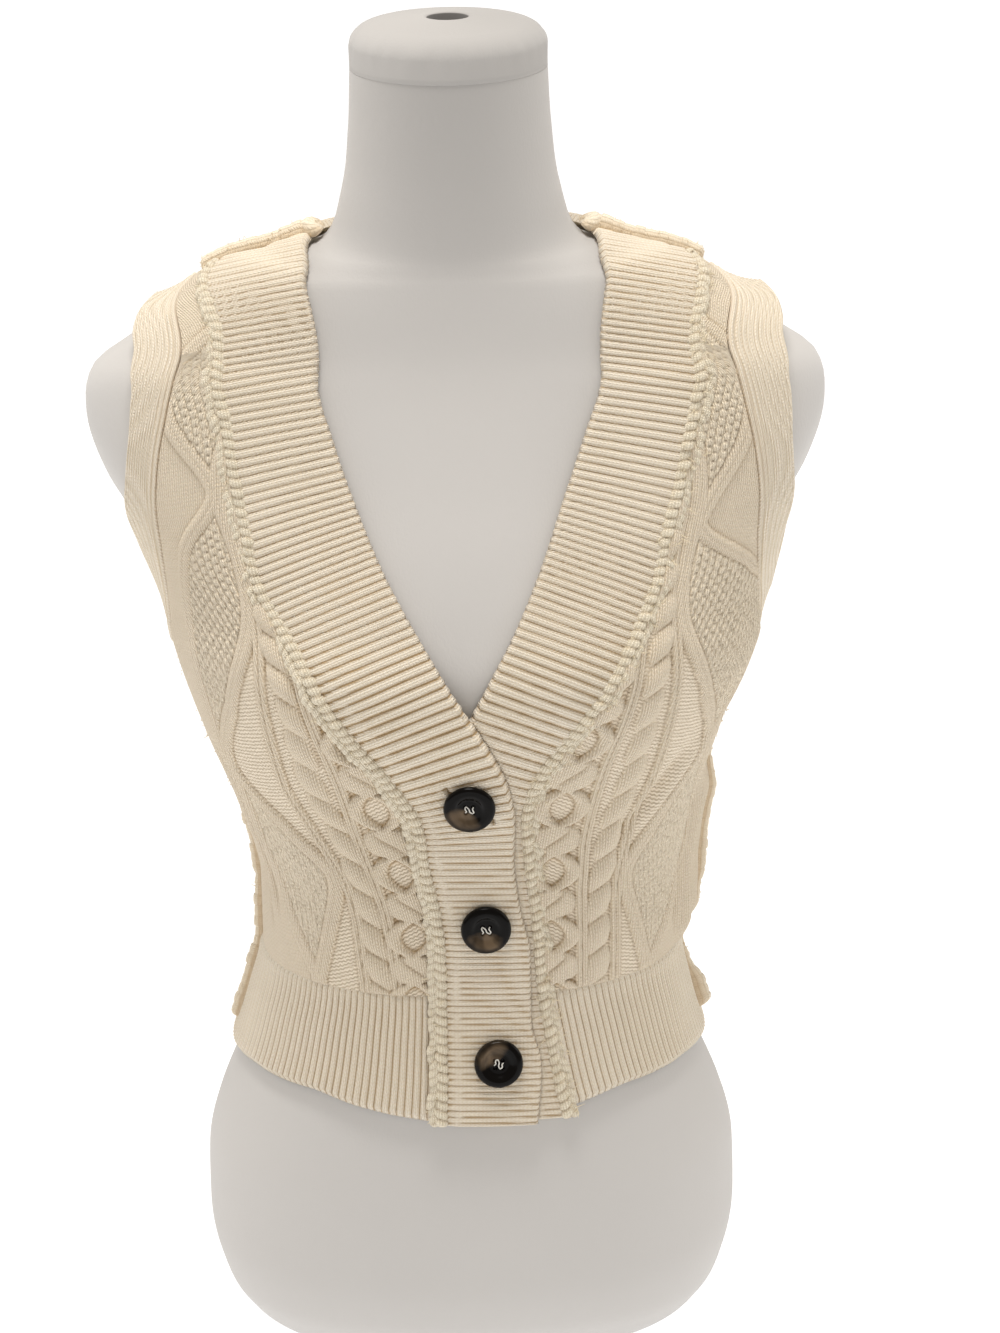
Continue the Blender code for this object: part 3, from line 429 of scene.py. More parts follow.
def edge_rounding(distance, radius):
    """A quarter circle: 0 at the edge, 1 from the radius on. A radius of 0 leaves it square."""
    if not radius:
        return np.ones_like(distance)
    t = np.clip(distance / radius, 0.0, 1.0)
    return np.sqrt(np.clip(1.0 - (1.0 - t) ** 2, 0.0, 1.0))


def ridge(distance, half_width):
    """A half ellipse across: 1 on its line, 0 from the half width on."""
    return np.sqrt(np.clip(1.0 - (distance / half_width) ** 2, 0.0, 1.0))


def blur(values, passes, wrap=False):
    """Three-point averages along both ways of the grid, repeated."""
    out = values
    for _ in range(passes):
        mode = "wrap" if wrap else "edge"
        rows = np.pad(out, ((1, 1), (0, 0)), mode=mode)
        out = (rows[:-2] + rows[1:-1] + rows[2:]) / 3.0
        cols = np.pad(out, ((0, 0), (1, 1)), mode="edge")
        out = (cols[:, :-2] + cols[:, 1:-1] + cols[:, 2:]) / 3.0
    return out


def hollows(relief, passes, depth, wrap=False):
    """How far a point lies below its surroundings, from 0 to 1 at the given depth: its share of
    painted shade.
    """
    return np.clip((blur(relief, passes, wrap) - relief) / depth, 0.0, 1.0)


# --- meshes ---

def new_piece(name, points, quads, tris, skin, replaced=(), uv=None, attributes=None,
              flat_tris=False):
    """A mesh object from arrays in mm, its faces turned outwards, riding on the frame's body."""
    quads = np.asarray(quads, int).reshape(-1, 4)
    tris = np.asarray(tris, int).reshape(-1, 3)
    split = np.concatenate([quads[:, :3], quads[:, [0, 2, 3]], tris])
    a, b, c = points[split[:, 0]], points[split[:, 1]], points[split[:, 2]]
    if np.einsum("ij,ij->", a - points[0], np.cross(b - points[0], c - points[0])) < 0.0:
        quads = quads[:, ::-1]
        tris = tris[:, ::-1]
    mesh = bpy.data.meshes.new(name)
    loops = np.concatenate([quads.ravel(), tris.ravel()])
    starts = np.concatenate([np.arange(len(quads)) * 4, 4 * len(quads) + np.arange(len(tris)) * 3])
    mesh.vertices.add(len(points))
    mesh.vertices.foreach_set("co", (points * MM).ravel())
    mesh.loops.add(len(loops))
    mesh.loops.foreach_set("vertex_index", loops)
    mesh.polygons.add(len(starts))
    mesh.polygons.foreach_set("loop_start", starts)
    mesh.update(calc_edges=True)
    if uv is not None:
        layer = mesh.uv_layers.new(name="knit")
        layer.data.foreach_set("uv", (uv[loops] * MM).ravel())
    for key, values in (attributes or {}).items():
        made = mesh.attributes.new(key, "FLOAT", "POINT")
        made.data.foreach_set("value", values)
    mesh.validate()
    mesh.shade_smooth()
    if flat_tris:
        mesh.polygons.foreach_set("use_smooth", np.arange(len(starts)) < len(quads))
    mesh.materials.append(skin)
    piece = bpy.data.objects.new(name, mesh)
    bpy.context.scene.collection.objects.link(piece)
    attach(piece, "root")
    if replaced:
        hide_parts(*replaced)
    return piece


def grid_faces(index, wrap):
    """Quads between neighbouring rows and columns of an index grid."""
    if wrap:
        index = np.concatenate([index, index[:1]])
    return np.stack([index[:-1, :-1], index[:-1, 1:], index[1:, 1:], index[1:, :-1]], -1)


def rim(fine, coarse):
    """Triangles from a fine border to a coarse one with a whole number of fine steps in each."""
    per = (len(fine) - 1) // (len(coarse) - 1)
    step = np.arange(len(fine) - 1)
    span = np.arange(len(coarse) - 1)
    fan = np.stack([fine[step + 1], fine[step], coarse[step // per]], -1)
    base = np.stack([fine[(span + 1) * per], coarse[span], coarse[span + 1]], -1)
    return np.concatenate([fan, base])


def wall_piece(name, outer, inner, skin, replaced, uv, attributes, ring=False):
    """A closed wall: a fine outer grid, a coarse inner one and rims between their borders."""
    rows, across = outer.shape[:2]
    low_rows, low_across = inner.shape[:2]
    out = np.arange(rows * across).reshape(rows, across)
    low = rows * across + np.arange(low_rows * low_across).reshape(low_rows, low_across)
    quads = np.concatenate([grid_faces(out, ring).reshape(-1, 4),
                            grid_faces(low, ring)[..., ::-1].reshape(-1, 4)])
    if ring:
        out = np.concatenate([out, out[:1]])
        low = np.concatenate([low, low[:1]])
    rims = [rim(out[::-1, 0], low[::-1, 0]), rim(out[:, -1], low[:, -1])]
    if not ring:
        rims += [rim(out[0], low[0]), rim(out[-1, ::-1], low[-1, ::-1])]
    points = np.concatenate([outer.reshape(-1, 3), inner.reshape(-1, 3)])
    spare = low_rows * low_across
    uv = np.concatenate([uv.reshape(-1, 2), np.zeros((spare, 2))])
    attributes = {key: np.concatenate([values.ravel(), np.zeros(spare)])
                  for key, values in attributes.items()}
    return new_piece(name, points, quads, np.concatenate(rims), skin, replaced, uv,
                     attributes, flat_tris=True)


def round_grid(shape):
    """Point numbers of a grid whose rows are rings: the first column stands again at the end."""
    index = np.arange(shape[0] * shape[1]).reshape(shape[:2])
    return np.concatenate([index, index[:, :1]], 1)


def closed_rings(rings, first_pole, last_pole):
    """Points, quads and triangles of a stack of rings with a pole at each end."""
    around = round_grid(rings.shape)
    count = rings.shape[1]
    poles = rings.shape[0] * count + np.arange(2)
    first = np.stack([around[0, 1:], around[0, :-1], np.full(count, poles[0])], -1)
    last = np.stack([around[-1, :-1], around[-1, 1:], np.full(count, poles[1])], -1)
    points = np.concatenate([rings.reshape(-1, 3), [first_pole, last_pole]])
    return points, grid_faces(around, False).reshape(-1, 4), np.concatenate([first, last])


def tube_along(path, side, up, outline_across, outline_up):
    """A closed tube: at each path point a closed outline in the directions side and up."""
    rings = (path[:, None] + side[:, None] * outline_across[..., None]
             + up[:, None] * outline_up[..., None])
    return closed_rings(rings, rings[0].mean(0), rings[-1].mean(0))


def joined(parts):
    """Several (points, quads, triangles) as one."""
    points, quads, tris, start = [], [], [], 0
    for p, q, t in parts:
        points.append(p)
        quads.append(np.asarray(q, int).reshape(-1, 4) + start)
        tris.append(np.asarray(t, int).reshape(-1, 3) + start)
        start += len(p)
    return np.concatenate(points), np.concatenate(quads), np.concatenate(tris)


# --- materials ---

def linear(code):
    """An sRGB hex colour as linear red, green, blue and alpha."""
    values = [int(code[i:i + 2], 16) / 255.0 for i in (1, 3, 5)]
    return (*[v / 12.92 if v <= 0.04045 else ((v + 0.055) / 1.055) ** 2.4 for v in values], 1.0)


def node(tree, kind, inputs=None, out=0, **settings):
    """Adds a node, sets its properties, and sets or links its inputs; gives one of its outputs."""
    made = tree.nodes.new("ShaderNode" + kind)
    for key, value in settings.items():
        setattr(made, key, value)
    for key, value in (inputs or {}).items():
        if isinstance(value, bpy.types.NodeSocket):
            tree.links.new(value, made.inputs[key])
        else:
            made.inputs[key].default_value = value
    return made.outputs[out]


def new_material(name, **sockets):
    """A material with its constants on the shader's own sockets."""
    made = bpy.data.materials.new(name)
    made.use_nodes = True
    shader = made.node_tree.nodes["Principled BSDF"]
    for key, value in sockets.items():
        shader.inputs[key.replace("_", " ")].default_value = value
    return made, made.node_tree, shader


def knit_material(name, light, shade, deep, wale, course, bump):
    """Wool yarn knitted in stitches of wale x course mm: matt, softly fuzzy, painted shade in its
    gutters.

    Each knit stitch is two slanted legs; where the attribute purl is 1 the stitches turn into the
    rows of short bars of a reverse side. Between the legs the shade colour is painted shade, mixed
    with random patches of tone. One float attribute lays painted shade in the deep colour in the
    gutters, and another lays painted light on the moss stitch.
    """
    made, tree, shader = new_material(name, Roughness=0.92, Sheen_Weight=0.2, Sheen_Roughness=0.5,
                                      Specular_IOR_Level=0.15)
    uv = node(tree, "UVMap", uv_map="knit")
    parts = tree.nodes.new("ShaderNodeSeparateXYZ")
    tree.links.new(uv, parts.inputs[0])
    place = node(tree, "TexCoord", out=3)
    across = node(tree, "Math", {0: parts.outputs[0], 1: 1000.0 / wale}, operation="MULTIPLY")
    along = node(tree, "Math", {0: parts.outputs[1], 1: 1000.0 / course}, operation="MULTIPLY")
    wander = node(tree, "TexNoise", {"Vector": place, "Scale": 260.0, "Detail": 2.0})
    along = node(tree, "Math", {0: wander, 1: 0.7, 2: along}, operation="MULTIPLY_ADD")
    side = node(tree, "Math", {0: across, 1: 1.0}, operation="PINGPONG")
    side = node(tree, "Math", {0: side, 1: 2.0, 2: -1.0}, operation="MULTIPLY_ADD")
    side = node(tree, "Math", {0: side}, operation="ABSOLUTE")
    legs = node(tree, "Math", {0: side, 1: math.pi}, operation="MULTIPLY")
    legs = node(tree, "Math", {0: legs}, operation="SINE")
    legs = node(tree, "Math", {0: legs, 1: 0.6}, operation="POWER")
    waves = []
    for lean in (0.6, 0.35):
        wave = node(tree, "Math", {0: side, 1: lean, 2: along}, operation="MULTIPLY_ADD")
        wave = node(tree, "Math", {0: wave, 1: math.pi}, operation="MULTIPLY")
        wave = node(tree, "Math", {0: wave}, operation="SINE")
        waves.append(node(tree, "Math", {0: wave}, operation="ABSOLUTE"))
    bars = node(tree, "Math", {0: waves[0], 1: 0.55, 2: 0.45}, operation="MULTIPLY_ADD")
    knit = node(tree, "Math", {0: legs, 1: bars}, operation="MULTIPLY")
    row = node(tree, "Math", {0: waves[1], 1: 0.7}, operation="POWER")
    reverse = node(tree, "Attribute", out=2, attribute_name="purl")
    painted_shade = node(tree, "Attribute", out=2, attribute_name="painted_shade")
    stitch = node(tree, "Mix", {0: reverse, 2: knit, 3: row})
    fuzz = node(tree, "TexNoise", {"Vector": place, "Scale": 2200.0, "Detail": 3.0})
    height = node(tree, "Math", {0: fuzz, 1: 0.5, 2: stitch}, operation="MULTIPLY_ADD")
    bumped = node(tree, "Bump", {"Height": height, "Strength": bump, "Distance": 0.0013})
    tree.links.new(bumped, shader.inputs["Normal"])
    # Painted shade: the shade colour between the stitches' legs; the large patches are random
    # tone.
    patch = node(tree, "TexNoise", {"Vector": place, "Scale": 14.0, "Detail": 2.0})
    tone = node(tree, "Math", {0: stitch, 1: 0.9}, operation="MULTIPLY")
    tone = node(tree, "Math", {0: patch, 1: 0.4, 2: tone}, operation="MULTIPLY_ADD")
    body = node(tree, "Mix", {0: tone, 6: linear(shade), 7: linear(light)}, out=2,
                data_type="RGBA")
    # Painted light: the moss stitch made paler, where its lumps shade one another.
    painted_moss_light = node(tree, "Attribute", out=2, attribute_name="painted_moss_light")
    body = node(tree, "Mix", {0: painted_moss_light, 6: body, 7: linear("#FFF3DC")}, out=2, data_type="RGBA")
    # Painted shade: the gutters and creases darkened towards the deep colour.
    gutter = node(tree, "Math", {0: painted_shade, 1: 1.4}, operation="POWER")
    gutter = node(tree, "Math", {0: gutter, 1: 0.9}, operation="MULTIPLY")
    colour = node(tree, "Mix", {0: gutter, 6: body, 7: linear(deep)}, out=2, data_type="RGBA")
    tree.links.new(colour, shader.inputs["Base Color"])
    return made


def jersey_material(name, light, shade):
    """Cotton jersey drawn tight: matt white with a very fine upright knit, faint blotches and
    painted shade.
    """
    made, tree, shader = new_material(name, Roughness=0.85, Sheen_Weight=0.15,
                                      Specular_IOR_Level=0.2)
    place = node(tree, "TexCoord", out=3)
    patch = node(tree, "TexNoise", {"Vector": place, "Scale": 9.0, "Detail": 4.0})
    colour = node(tree, "Mix", {0: patch, 6: linear(shade), 7: linear(light)}, out=2,
                  data_type="RGBA")
    # Painted shade: the attribute inside darkens the jersey up the neck's front, over the cap and
    # down its hole.
    inside = node(tree, "Attribute", out=2, attribute_name="inside")
    colour = node(tree, "Mix", {0: inside, 6: colour, 7: linear("#2E2A27")}, out=2,
                  data_type="RGBA")
    tree.links.new(colour, shader.inputs["Base Color"])
    # The real threads are 0.4 mm apart; drawn at 1.1 mm so that they show.
    stretch = node(tree, "Mapping", {"Vector": place, "Scale": (1.0, 1.0, 0.45)})
    threads = node(tree, "TexNoise", {"Vector": stretch, "Scale": 900.0, "Detail": 2.0})
    bumped = node(tree, "Bump", {"Height": threads, "Strength": 0.25, "Distance": 0.0004})
    tree.links.new(bumped, shader.inputs["Normal"])
    return made


def horn_material(name):
    """Polished polyester horn: near black, with smoky brown clouds where light enters."""
    made, tree, shader = new_material(name, Roughness=0.17, Specular_IOR_Level=0.12)
    cloud = node(tree, "Attribute", out=2, attribute_name="cloud")
    place = node(tree, "TexCoord", out=3)
    streak = node(tree, "TexNoise", {"Vector": place, "Scale": 90.0, "Detail": 2.0,
                                     "Distortion": 1.2})
    tone = node(tree, "Math", {0: cloud, 1: streak}, operation="MULTIPLY")
    ramp = node(tree, "MapRange", {0: tone, 1: 0.1, 2: 0.65})
    colour = node(tree, "Mix", {0: ramp, 6: linear("#070504"), 7: linear("#6B5A47")}, out=2,
                  data_type="RGBA")
    tree.links.new(colour, shader.inputs["Base Color"])
    return made


def thread_material(name):
    """Waxed white sewing thread."""
    made, tree, shader = new_material(name, Roughness=0.5)
    place = node(tree, "TexCoord", out=3)
    twist = node(tree, "TexNoise", {"Vector": place, "Scale": 1800.0})
    colour = node(tree, "Mix", {0: twist, 6: linear("#CFCBC2"), 7: linear("#F7F5EE")}, out=2,
                  data_type="RGBA")
    tree.links.new(colour, shader.inputs["Base Color"])
    return made


# --- knitted relief ---

def mound(distance, half_width):
    """A rounded ridge (1 - d^2)^0.7, softer at its foot than the half ellipse."""
    return np.clip(1.0 - (distance / half_width) ** 2, 0.0, 1.0) ** 0.7


def rope_relief(distance, phase):
    """Leaf-shaped lobes: |sin| of the phase, which falls behind across the rope."""
    reach = np.clip(distance / ROPE_HALF, -1.0, 1.0)
    lobe = abs(np.sin(np.pi * (phase - 0.6 * (0.5 - 0.5 * reach) ** 1.2)))
    return mound(distance, ROPE_HALF * (0.7 + 0.3 * lobe)) * (0.12 + 0.88 * lobe ** 0.65)


def ring_relief(distance, phase):
    """Two strands part round a hole by sin^0.65, then cross as a slanted leaf."""
    turn = phase - np.floor(phase)
    swing = np.sin(np.pi * np.clip(turn / RING_OPEN, 0.0, 1.0))
    ring = mound(abs(distance) - RING_HALF * swing ** 0.65, RING_STRAND) * (turn < RING_OPEN)
    rest = np.clip((turn - RING_OPEN) / (1.0 - RING_OPEN), 0.0, 1.0)
    wide = RING_STRAND + (RING_HALF - 1.0) * np.sin(np.pi * rest) ** 0.5
    split = np.exp(-((distance / wide + 1.5 * (rest - 0.5)) / 0.12) ** 2)
    leaf = mound(distance, wide) * (1.0 - 0.4 * split) * (turn >= RING_OPEN)
    return np.maximum(ring, leaf)


def twin_relief(distance):
    """Two narrow ribs side by side."""
    return ridge(abs(distance) - TWIN_SPACING / 2.0, TWIN_HALF)


def border_relief(distance):
    """A travelling cable: a half ellipse with a shallow groove between its two stitches."""
    return ridge(distance, BORDER_HALF) * (1.0 - 0.22 * np.exp(-(distance / 0.8) ** 2))


def moss_relief(across, along, cell):
    """Rounded lumps in columns, each column half a lump lower than the last."""
    column = np.floor(across / cell)
    row = along / cell + 0.5 * (column % 2.0)
    return abs(np.sin(np.pi * across / cell) * np.sin(np.pi * row)) ** 0.5


def gather(values, lateral):
    """A grid's values at fractional places along its rows, run on straight past the ends."""
    last = values.shape[1] - 1
    place = lateral * last
    i = np.clip(np.floor(place), 0, last - 1).astype(int)
    low = np.take_along_axis(values, i, 1)
    high = np.take_along_axis(values, i + 1, 1)
    return low + (high - low) * (place - i)


def across_distance(run, along, lateral):
    """Distance from a knitted line, measured square to it: run is the length along the rows."""
    distance = run - gather(run, lateral)
    lean = np.gradient(distance, axis=0) / np.maximum(np.gradient(along, axis=0), 0.05)
    return distance / np.sqrt(1.0 + np.clip(lean, -2.0, 2.0) ** 2)


def cable_relief(ring, ring_phase, rope, rope_phase, twins, borders):
    """The highest of the cables at each point, from its distance to the middle of each."""
    own = settings()
    return np.maximum.reduce([own.ring_rise * ring_relief(ring, ring_phase),
                              own.rope_rise * rope_relief(rope, rope_phase),
                              *[own.twin_rise * twin_relief(twin) for twin in twins],
                              *[own.border_rise * border_relief(border) for border in borders]])


def with_moss(knitted, mask, lumps, ground):
    """Adds the moss stitch: the relief, where the reverse side shows, and the scale of the painted
    shade, cut in the moss, where painted light goes instead.
    """
    ground = ground * (1.0 - smooth_step(knitted, 0.15, 0.6)) * (1.0 - mask)
    moss = settings().moss_rise * mask * lumps
    return np.maximum(knitted, moss), ground, 1.0 - MOSS_PAINTED_LIGHT * mask


def panel_relief(wales, height, inner, outer, run, along, seen):
    """A front's cables as with_moss gives them, and the distance from its inner twin rib."""
    knots, *lines = columns(wales)
    width = np.maximum(outer - inner, 4.0)
    places = [np.clip((smooth_curve(height, knots, line) - inner) / width, -3.0, 4.0)
              for line in lines]
    ring, twin, rope, outer_twin, inside, outside = [
        across_distance(run, along, place) for place in places]
    knitted = cable_relief(ring + RING_SHIFT, (RING_START - seen) / RING_PITCH, rope,
                           (ROPE_START - seen) / ROPE_PITCH, (twin, outer_twin),
                           (inside, outside))
    lumps = np.where(seen > MOSS_LOW_TOP, 0.2 + 0.8 * moss_relief(run, along, MOSS_CELL),
                     0.25 + 0.6 * moss_relief(run, along, MOSS_CELL_LOW))
    mask = smooth_step(np.minimum(inside, -outside), *MOSS_EDGE)
    return (*with_moss(knitted, mask, lumps, 1.0 - smooth_step(inside, 0.0, 3.0)),
            run - gather(run, places[1]))


def back_relief(place, along):
    """The back's cables, mirrored about its centre: place is mm from the centre."""
    own = abs(place)
    swing = DIAMOND_HALF * abs(np.sin(np.pi * (along - DIAMOND_START) / DIAMOND_LENGTH))
    inner, outer = own - (BACK_DIAMOND - swing), own - (BACK_DIAMOND + swing)
    knitted = cable_relief(own - BACK_RING, along / -RING_PITCH, own - BACK_ROPE,
                           along / -ROPE_PITCH, [own - twin for twin in BACK_TWINS],
                           (own - swing, inner, outer))
    mask = smooth_step(np.maximum(swing - own, np.minimum(inner, -outer)), *MOSS_EDGE)
    return with_moss(knitted, mask, moss_relief(place, along, MOSS_CELL),
                     1.0 - smooth_step(own, 108.0, 116.0))


# --- the lines that the pieces share ---

FINE = 8                   # fine steps along a border in each step of a wall's inside
FINER = 12                 # the same across the fronts' cables
# Steps of each piece's inside: along its rows and across them.
BAND_CELLS, PANEL_CELLS, BACK_CELLS, NECK_CELLS = (92, 4), (46, 16), (44, 30), (44, 3)
ARMHOLE_CELLS, HEM_CELLS_UP = (26, 8), 3
HEM_TUCK = 2.4             # how far the hem rib reaches up under the panels


def table_rows(table, positions):
    """A table's columns as smooth curves, read at fractional rows."""
    return [smooth_curve(positions, np.arange(len(table)), line) for line in columns(table)]


def armhole_line(positions, column, back=False):
    """An edge of the armhole band at rows of its table; the back mirrors it about the side."""
    lines = table_rows(ARMHOLE, positions)
    ends = columns(ARMHOLE)[1][[0, -1]]
    turn = np.interp(lines[1], ends, (2 * SIDE_ANGLE, 2 * SHOULDER_ANGLE))
    return np.where(back, turn - lines[column], lines[column]), lines[column + 1]


def panel_edge(positions, back=False):
    """The outer edge of a front or back panel, by rows from the shoulder down to the rib."""
    last = len(ARMHOLE) - 1
    angle, height = armhole_line(np.clip(last - positions, 0, last), 0, back)
    side = np.interp(positions, np.arange(last, PANEL_ROWS), (ARMHOLE[0][1],) + SIDE_HEIGHTS)
    below = positions > last
    return np.where(below, SIDE_ANGLE, angle), np.where(below, side, height)


def side_sign(side):
    """-1 on the wearer's right and 1 on the left: the sign of that side's angles."""
    return -1.0 if side == "right" else 1.0


def border_factor(run, along, reach, rule, wrap=False):
    """A rule of distance and reach over a grid's four borders, multiplied.

    The borders are the first column, the last column, the first row and the last row.
    """
    distances = [run, run[:, -1:] - run, along, along[-1:] - along]
    total = 1.0
    for distance, own in zip(distances[:2] if wrap else distances, reach):
        total = total * rule(distance, own)
    return total


def fade_in(distance, reach):
    """0 at the border and 1 from the reach on, by the smooth step."""
    return smooth_step(distance, 0.0, reach)


def measured(angle, height, base):
    """The plain outside, with the distances along its rows and along its columns."""
    flat = on_form(angle, height, base + WALL)
    return flat, lengths(flat, 1), lengths(flat, 0)


def even_rows(place, lateral, last, count):
    """Row positions evenly spaced by length down one column of a piece on the skin."""
    def column(dense):
        angle, height, *_ = place(dense, np.array([lateral]))
        return form_point(angle[:, 0], height[:, 0])

    return even_positions(column, last, count)


def finish_wall(name, node_name, place, run, along, relief, passes, depth, rounding, inner=None,
                slot="rib_knit", step=FINE, purl=None, uv=None, ring=False, fade=(0.7,) * 4,
                shade_scale=1.0):
    """Raises the wall and its relief, rounds its borders and makes the piece.

    The place is three grids: angles, heights and ease. Unless it is given, the inside is every
    few points of them. The gutters take painted shade, scaled as given, and where that scale is
    below 1 the knit takes painted light instead.
    """
    angle, height, base = place
    lift = (base + WALL * border_factor(run, along, rounding, edge_rounding, ring)
            + relief * border_factor(run, along, fade, fade_in, ring))
    if inner is None:
        inner = on_form(*[grid[::FINE, ::step] for grid in place])
    # Painted shade in the gutters and creases below their surroundings; painted light on the moss.
    attributes = {
        "painted_shade": np.clip(hollows(relief + base, passes, depth, ring) * shade_scale, 0.0, 1.0),
        "purl": np.zeros(run.shape) if purl is None else purl,
        "painted_moss_light": np.clip(1.0 - shade_scale, 0.0, 1.0) * np.ones(run.shape),
    }
    uv = np.stack((run, along) if uv is None else uv, -1)
    skin = knit_skin() if slot == "cable_knit" else rib_skin()
    return wall_piece(name, on_form(angle, height, lift), inner, skin, (node_name,), uv,
                      attributes, ring)


# --- the vest's pieces ---

def build_front_band(side, table):
    """A ribbed band: rows run along it, columns from its seam to its free edge.

    Its ribs are |sin|^0.75 of a phase that counts them down the band's middle. Each rib is the
    straight line of its slope through its own place on the middle, found by repeated steps.
    """
    last = len(table) - 1
    rows, across = [FINE * cells + 1 for cells in BAND_CELLS]
    top_band, sign = side == "right", side_sign(side)

    def place(positions, lateral):
        edge_a, edge_z, seam_a, seam_z = [line[:, None] for line in table_rows(table, positions)]
        angle = sign * (seam_a + (edge_a - seam_a) * lateral)
        height = seam_z + (edge_z - seam_z) * lateral
        return angle, height, (cloth_ease(angle, height)
                               + (overlap_lift(height, lateral) if top_band else 0.0))

    def middle(dense):
        return on_form(*[grid[:, 0] for grid in place(dense, np.array([0.5]))])

    positions = even_positions(middle, last, rows)
    lateral = np.linspace(0.0, 1.0, across)
    line = middle(positions)
    rising = seen_height(line)[::-1]
    knots, *tuned = columns(BAND_RIBS)
    pitch, slope = [smooth_curve(rising, knots, column) for column in tuned]
    count = np.cumsum(np.gradient(rising) / (settings().rib_spread * pitch))
    points = on_form(*place(positions, lateral))
    seen, out = seen_height(points), sign * points[..., 0]
    start = seen
    for _ in range(5):
        away = out - np.interp(start, rising, sign * line[::-1, 0])
        start = seen + np.tan(np.radians(np.interp(start, rising, slope))) * away
    phase = -np.interp(start, rising, count)
    rib = abs(np.sin(np.pi * phase)) ** 0.75
    scallop = 0.012 * rib * smooth_step(lateral, 0.93, 1.0)
    angle, height, base = place(positions, lateral + scallop)
    _, run, along = measured(angle, height, base)
    relief = settings().rib_rise * (0.5 + 0.5 * smooth_step(height, 318.0, 360.0)) * rib
    if top_band:
        _, button_angle, button_height, _, _ = BUTTONS[0]
        drop = height - button_height + SLIT_SLOPE * (angle - button_angle)
        reach = abs(angle - button_angle) * BAND_MM_PER_DEGREE
        slit = np.exp(-(drop / SLIT_HALF_WIDTH) ** 2) * (1.0 - smooth_step(reach, *SLIT_ENDS))
        relief = relief - SLIT_DEPTH * slit
    else:
        cover = -np.interp(-height, -columns(BAND_RIGHT)[1], columns(BAND_RIGHT)[0])
        shown = smooth_step(angle - cover, -0.2, 1.2)
        relief = relief * np.maximum(shown, smooth_step(height, 372.0, 392.0))
    # Painted shade three times as strong in the lower band's gutters, below the overlap.
    return finish_wall("rib_band_front_" + side, "front_band_" + side, (angle, height, base), run,
                       along, relief, 3, 0.55, (1.0, 1.7, 1.0, 1.7),
                       inner=on_form(*place(positions[::FINE], lateral[::FINE])),
                       uv=(2.0 * settings().wale * phase, run),
                       shade_scale=3.0 - 2.0 * smooth_step(height, OVERLAP_FULL, OVERLAP_TOP))


def build_front_panel(side, band, wales):
    """A cabled front: rows run from the shoulder to the rib, columns from band to side seam."""
    def place(positions, lateral):
        _, _, inner_a, inner_z = [line[:, None] for line in table_rows(band, positions)]
        outer_a, outer_z = [line[:, None] for line in panel_edge(positions)]
        angle = inner_a + (outer_a - inner_a) * lateral
        return angle, inner_z + (outer_z - inner_z) * lateral, inner_a, outer_a

    rows, across = PANEL_CELLS
    positions = even_rows(place, 0.5, PANEL_ROWS - 1, FINE * rows + 1)
    angle, height, inner_a, outer_a = place(positions, np.linspace(0.0, 1.0, FINER * across + 1))
    world = side_sign(side) * angle
    base = cloth_ease(world, height)
    flat, run, along = measured(world, height, base)
    relief, purl, shade_scale, stitches = panel_relief(wales, height, inner_a, outer_a, run, along,
                                                seen_height(flat))
    return finish_wall("cable_front_" + side, "front_panel_" + side, (world, height, base), run,
                       along, relief, 3, 0.75, (1.0, 0.9, 1.0, 0.0), slot="cable_knit",
                       step=FINER, purl=purl, uv=(stitches, along), fade=(4.0, 4.0, 4.0, 2.5),
                       shade_scale=shade_scale)


def build_back_panel():
    """The cabled back: rows run down from the neck, columns from side to side."""
    neck_angle, _, neck_height = columns(BACK_NECK)
    corner, top = neck_height[[0, -1]]

    def place(positions, lateral):
        side_a, side_z = panel_edge(np.maximum(positions - 1.0, 0.0), back=True)
        rise = np.clip(1.0 - positions, 0.0, 1.0) * (corner - ARMHOLE[-1][1])
        side_a, side_z = side_a[:, None], (side_z + rise)[:, None]
        centre_z = RIB_TOP + (side_z - RIB_TOP) * (top - RIB_TOP) / (corner - RIB_TOP)
        angle = 180.0 + (180.0 - side_a) * lateral
        neck_line = smooth_curve(180.0 - abs(lateral) * (180.0 - SHOULDER_ANGLE), neck_angle,
                                 neck_height)
        return angle, side_z + (centre_z - side_z) * (corner - neck_line) / (corner - top)

    rows, across = BACK_CELLS
    positions = even_rows(place, 0.6, PANEL_ROWS, FINE * rows + 1)
    lateral = np.linspace(-1.0, 1.0, FINE * across + 1)
    angle, height = place(positions, lateral)
    base = cloth_ease(angle, height)
    _, run, along = measured(angle, height, base)
    across_mm = 150.0 * lateral[None, :] + 0.0 * angle
    relief, purl, shade_scale = back_relief(across_mm, height - RIB_TOP)
    return finish_wall("cable_back", "back_panel", (angle, height, base), run, along, relief, 5,
                       0.8, (0.9, 0.9, 0.0, 0.0), slot="cable_knit", purl=purl,
                       uv=(across_mm, along), fade=(4.0, 4.0, 6.0, 2.5), shade_scale=shade_scale)


def build_back_neck_band():
    """The ribbed band round the back of the neck: rows run round it."""
    rows, across = [FINE * cells + 1 for cells in NECK_CELLS]
    knots, free_height, seam_height = columns(BACK_NECK)
    angles = np.linspace(SHOULDER_ANGLE, 360.0 - SHOULDER_ANGLE, rows)[:, None]
    lateral = np.linspace(0.0, 1.0, across)
    own = 180.0 - abs(180.0 - angles)
    low = smooth_curve(own, knots, seam_height)
    angle = angles + 0.0 * lateral
    height = low + (smooth_curve(own, knots, free_height) - low) * lateral
    base = cloth_ease(angle, height) + NECK_BAND_LIFT
    _, run, along = measured(angle, height, base)
    phase = along[:, [across // 2]] / (3.6 * settings().rib_spread) + 0.0 * run
    relief = settings().rib_rise * abs(np.sin(np.pi * phase)) ** 0.6
    return finish_wall("rib_band_neck", "back_neck_band", (angle, height, base), run, along,
                       relief, 3, 0.55, (0.0, 1.7, 1.0, 1.0),
                       uv=(2.0 * settings().wale * phase, run))


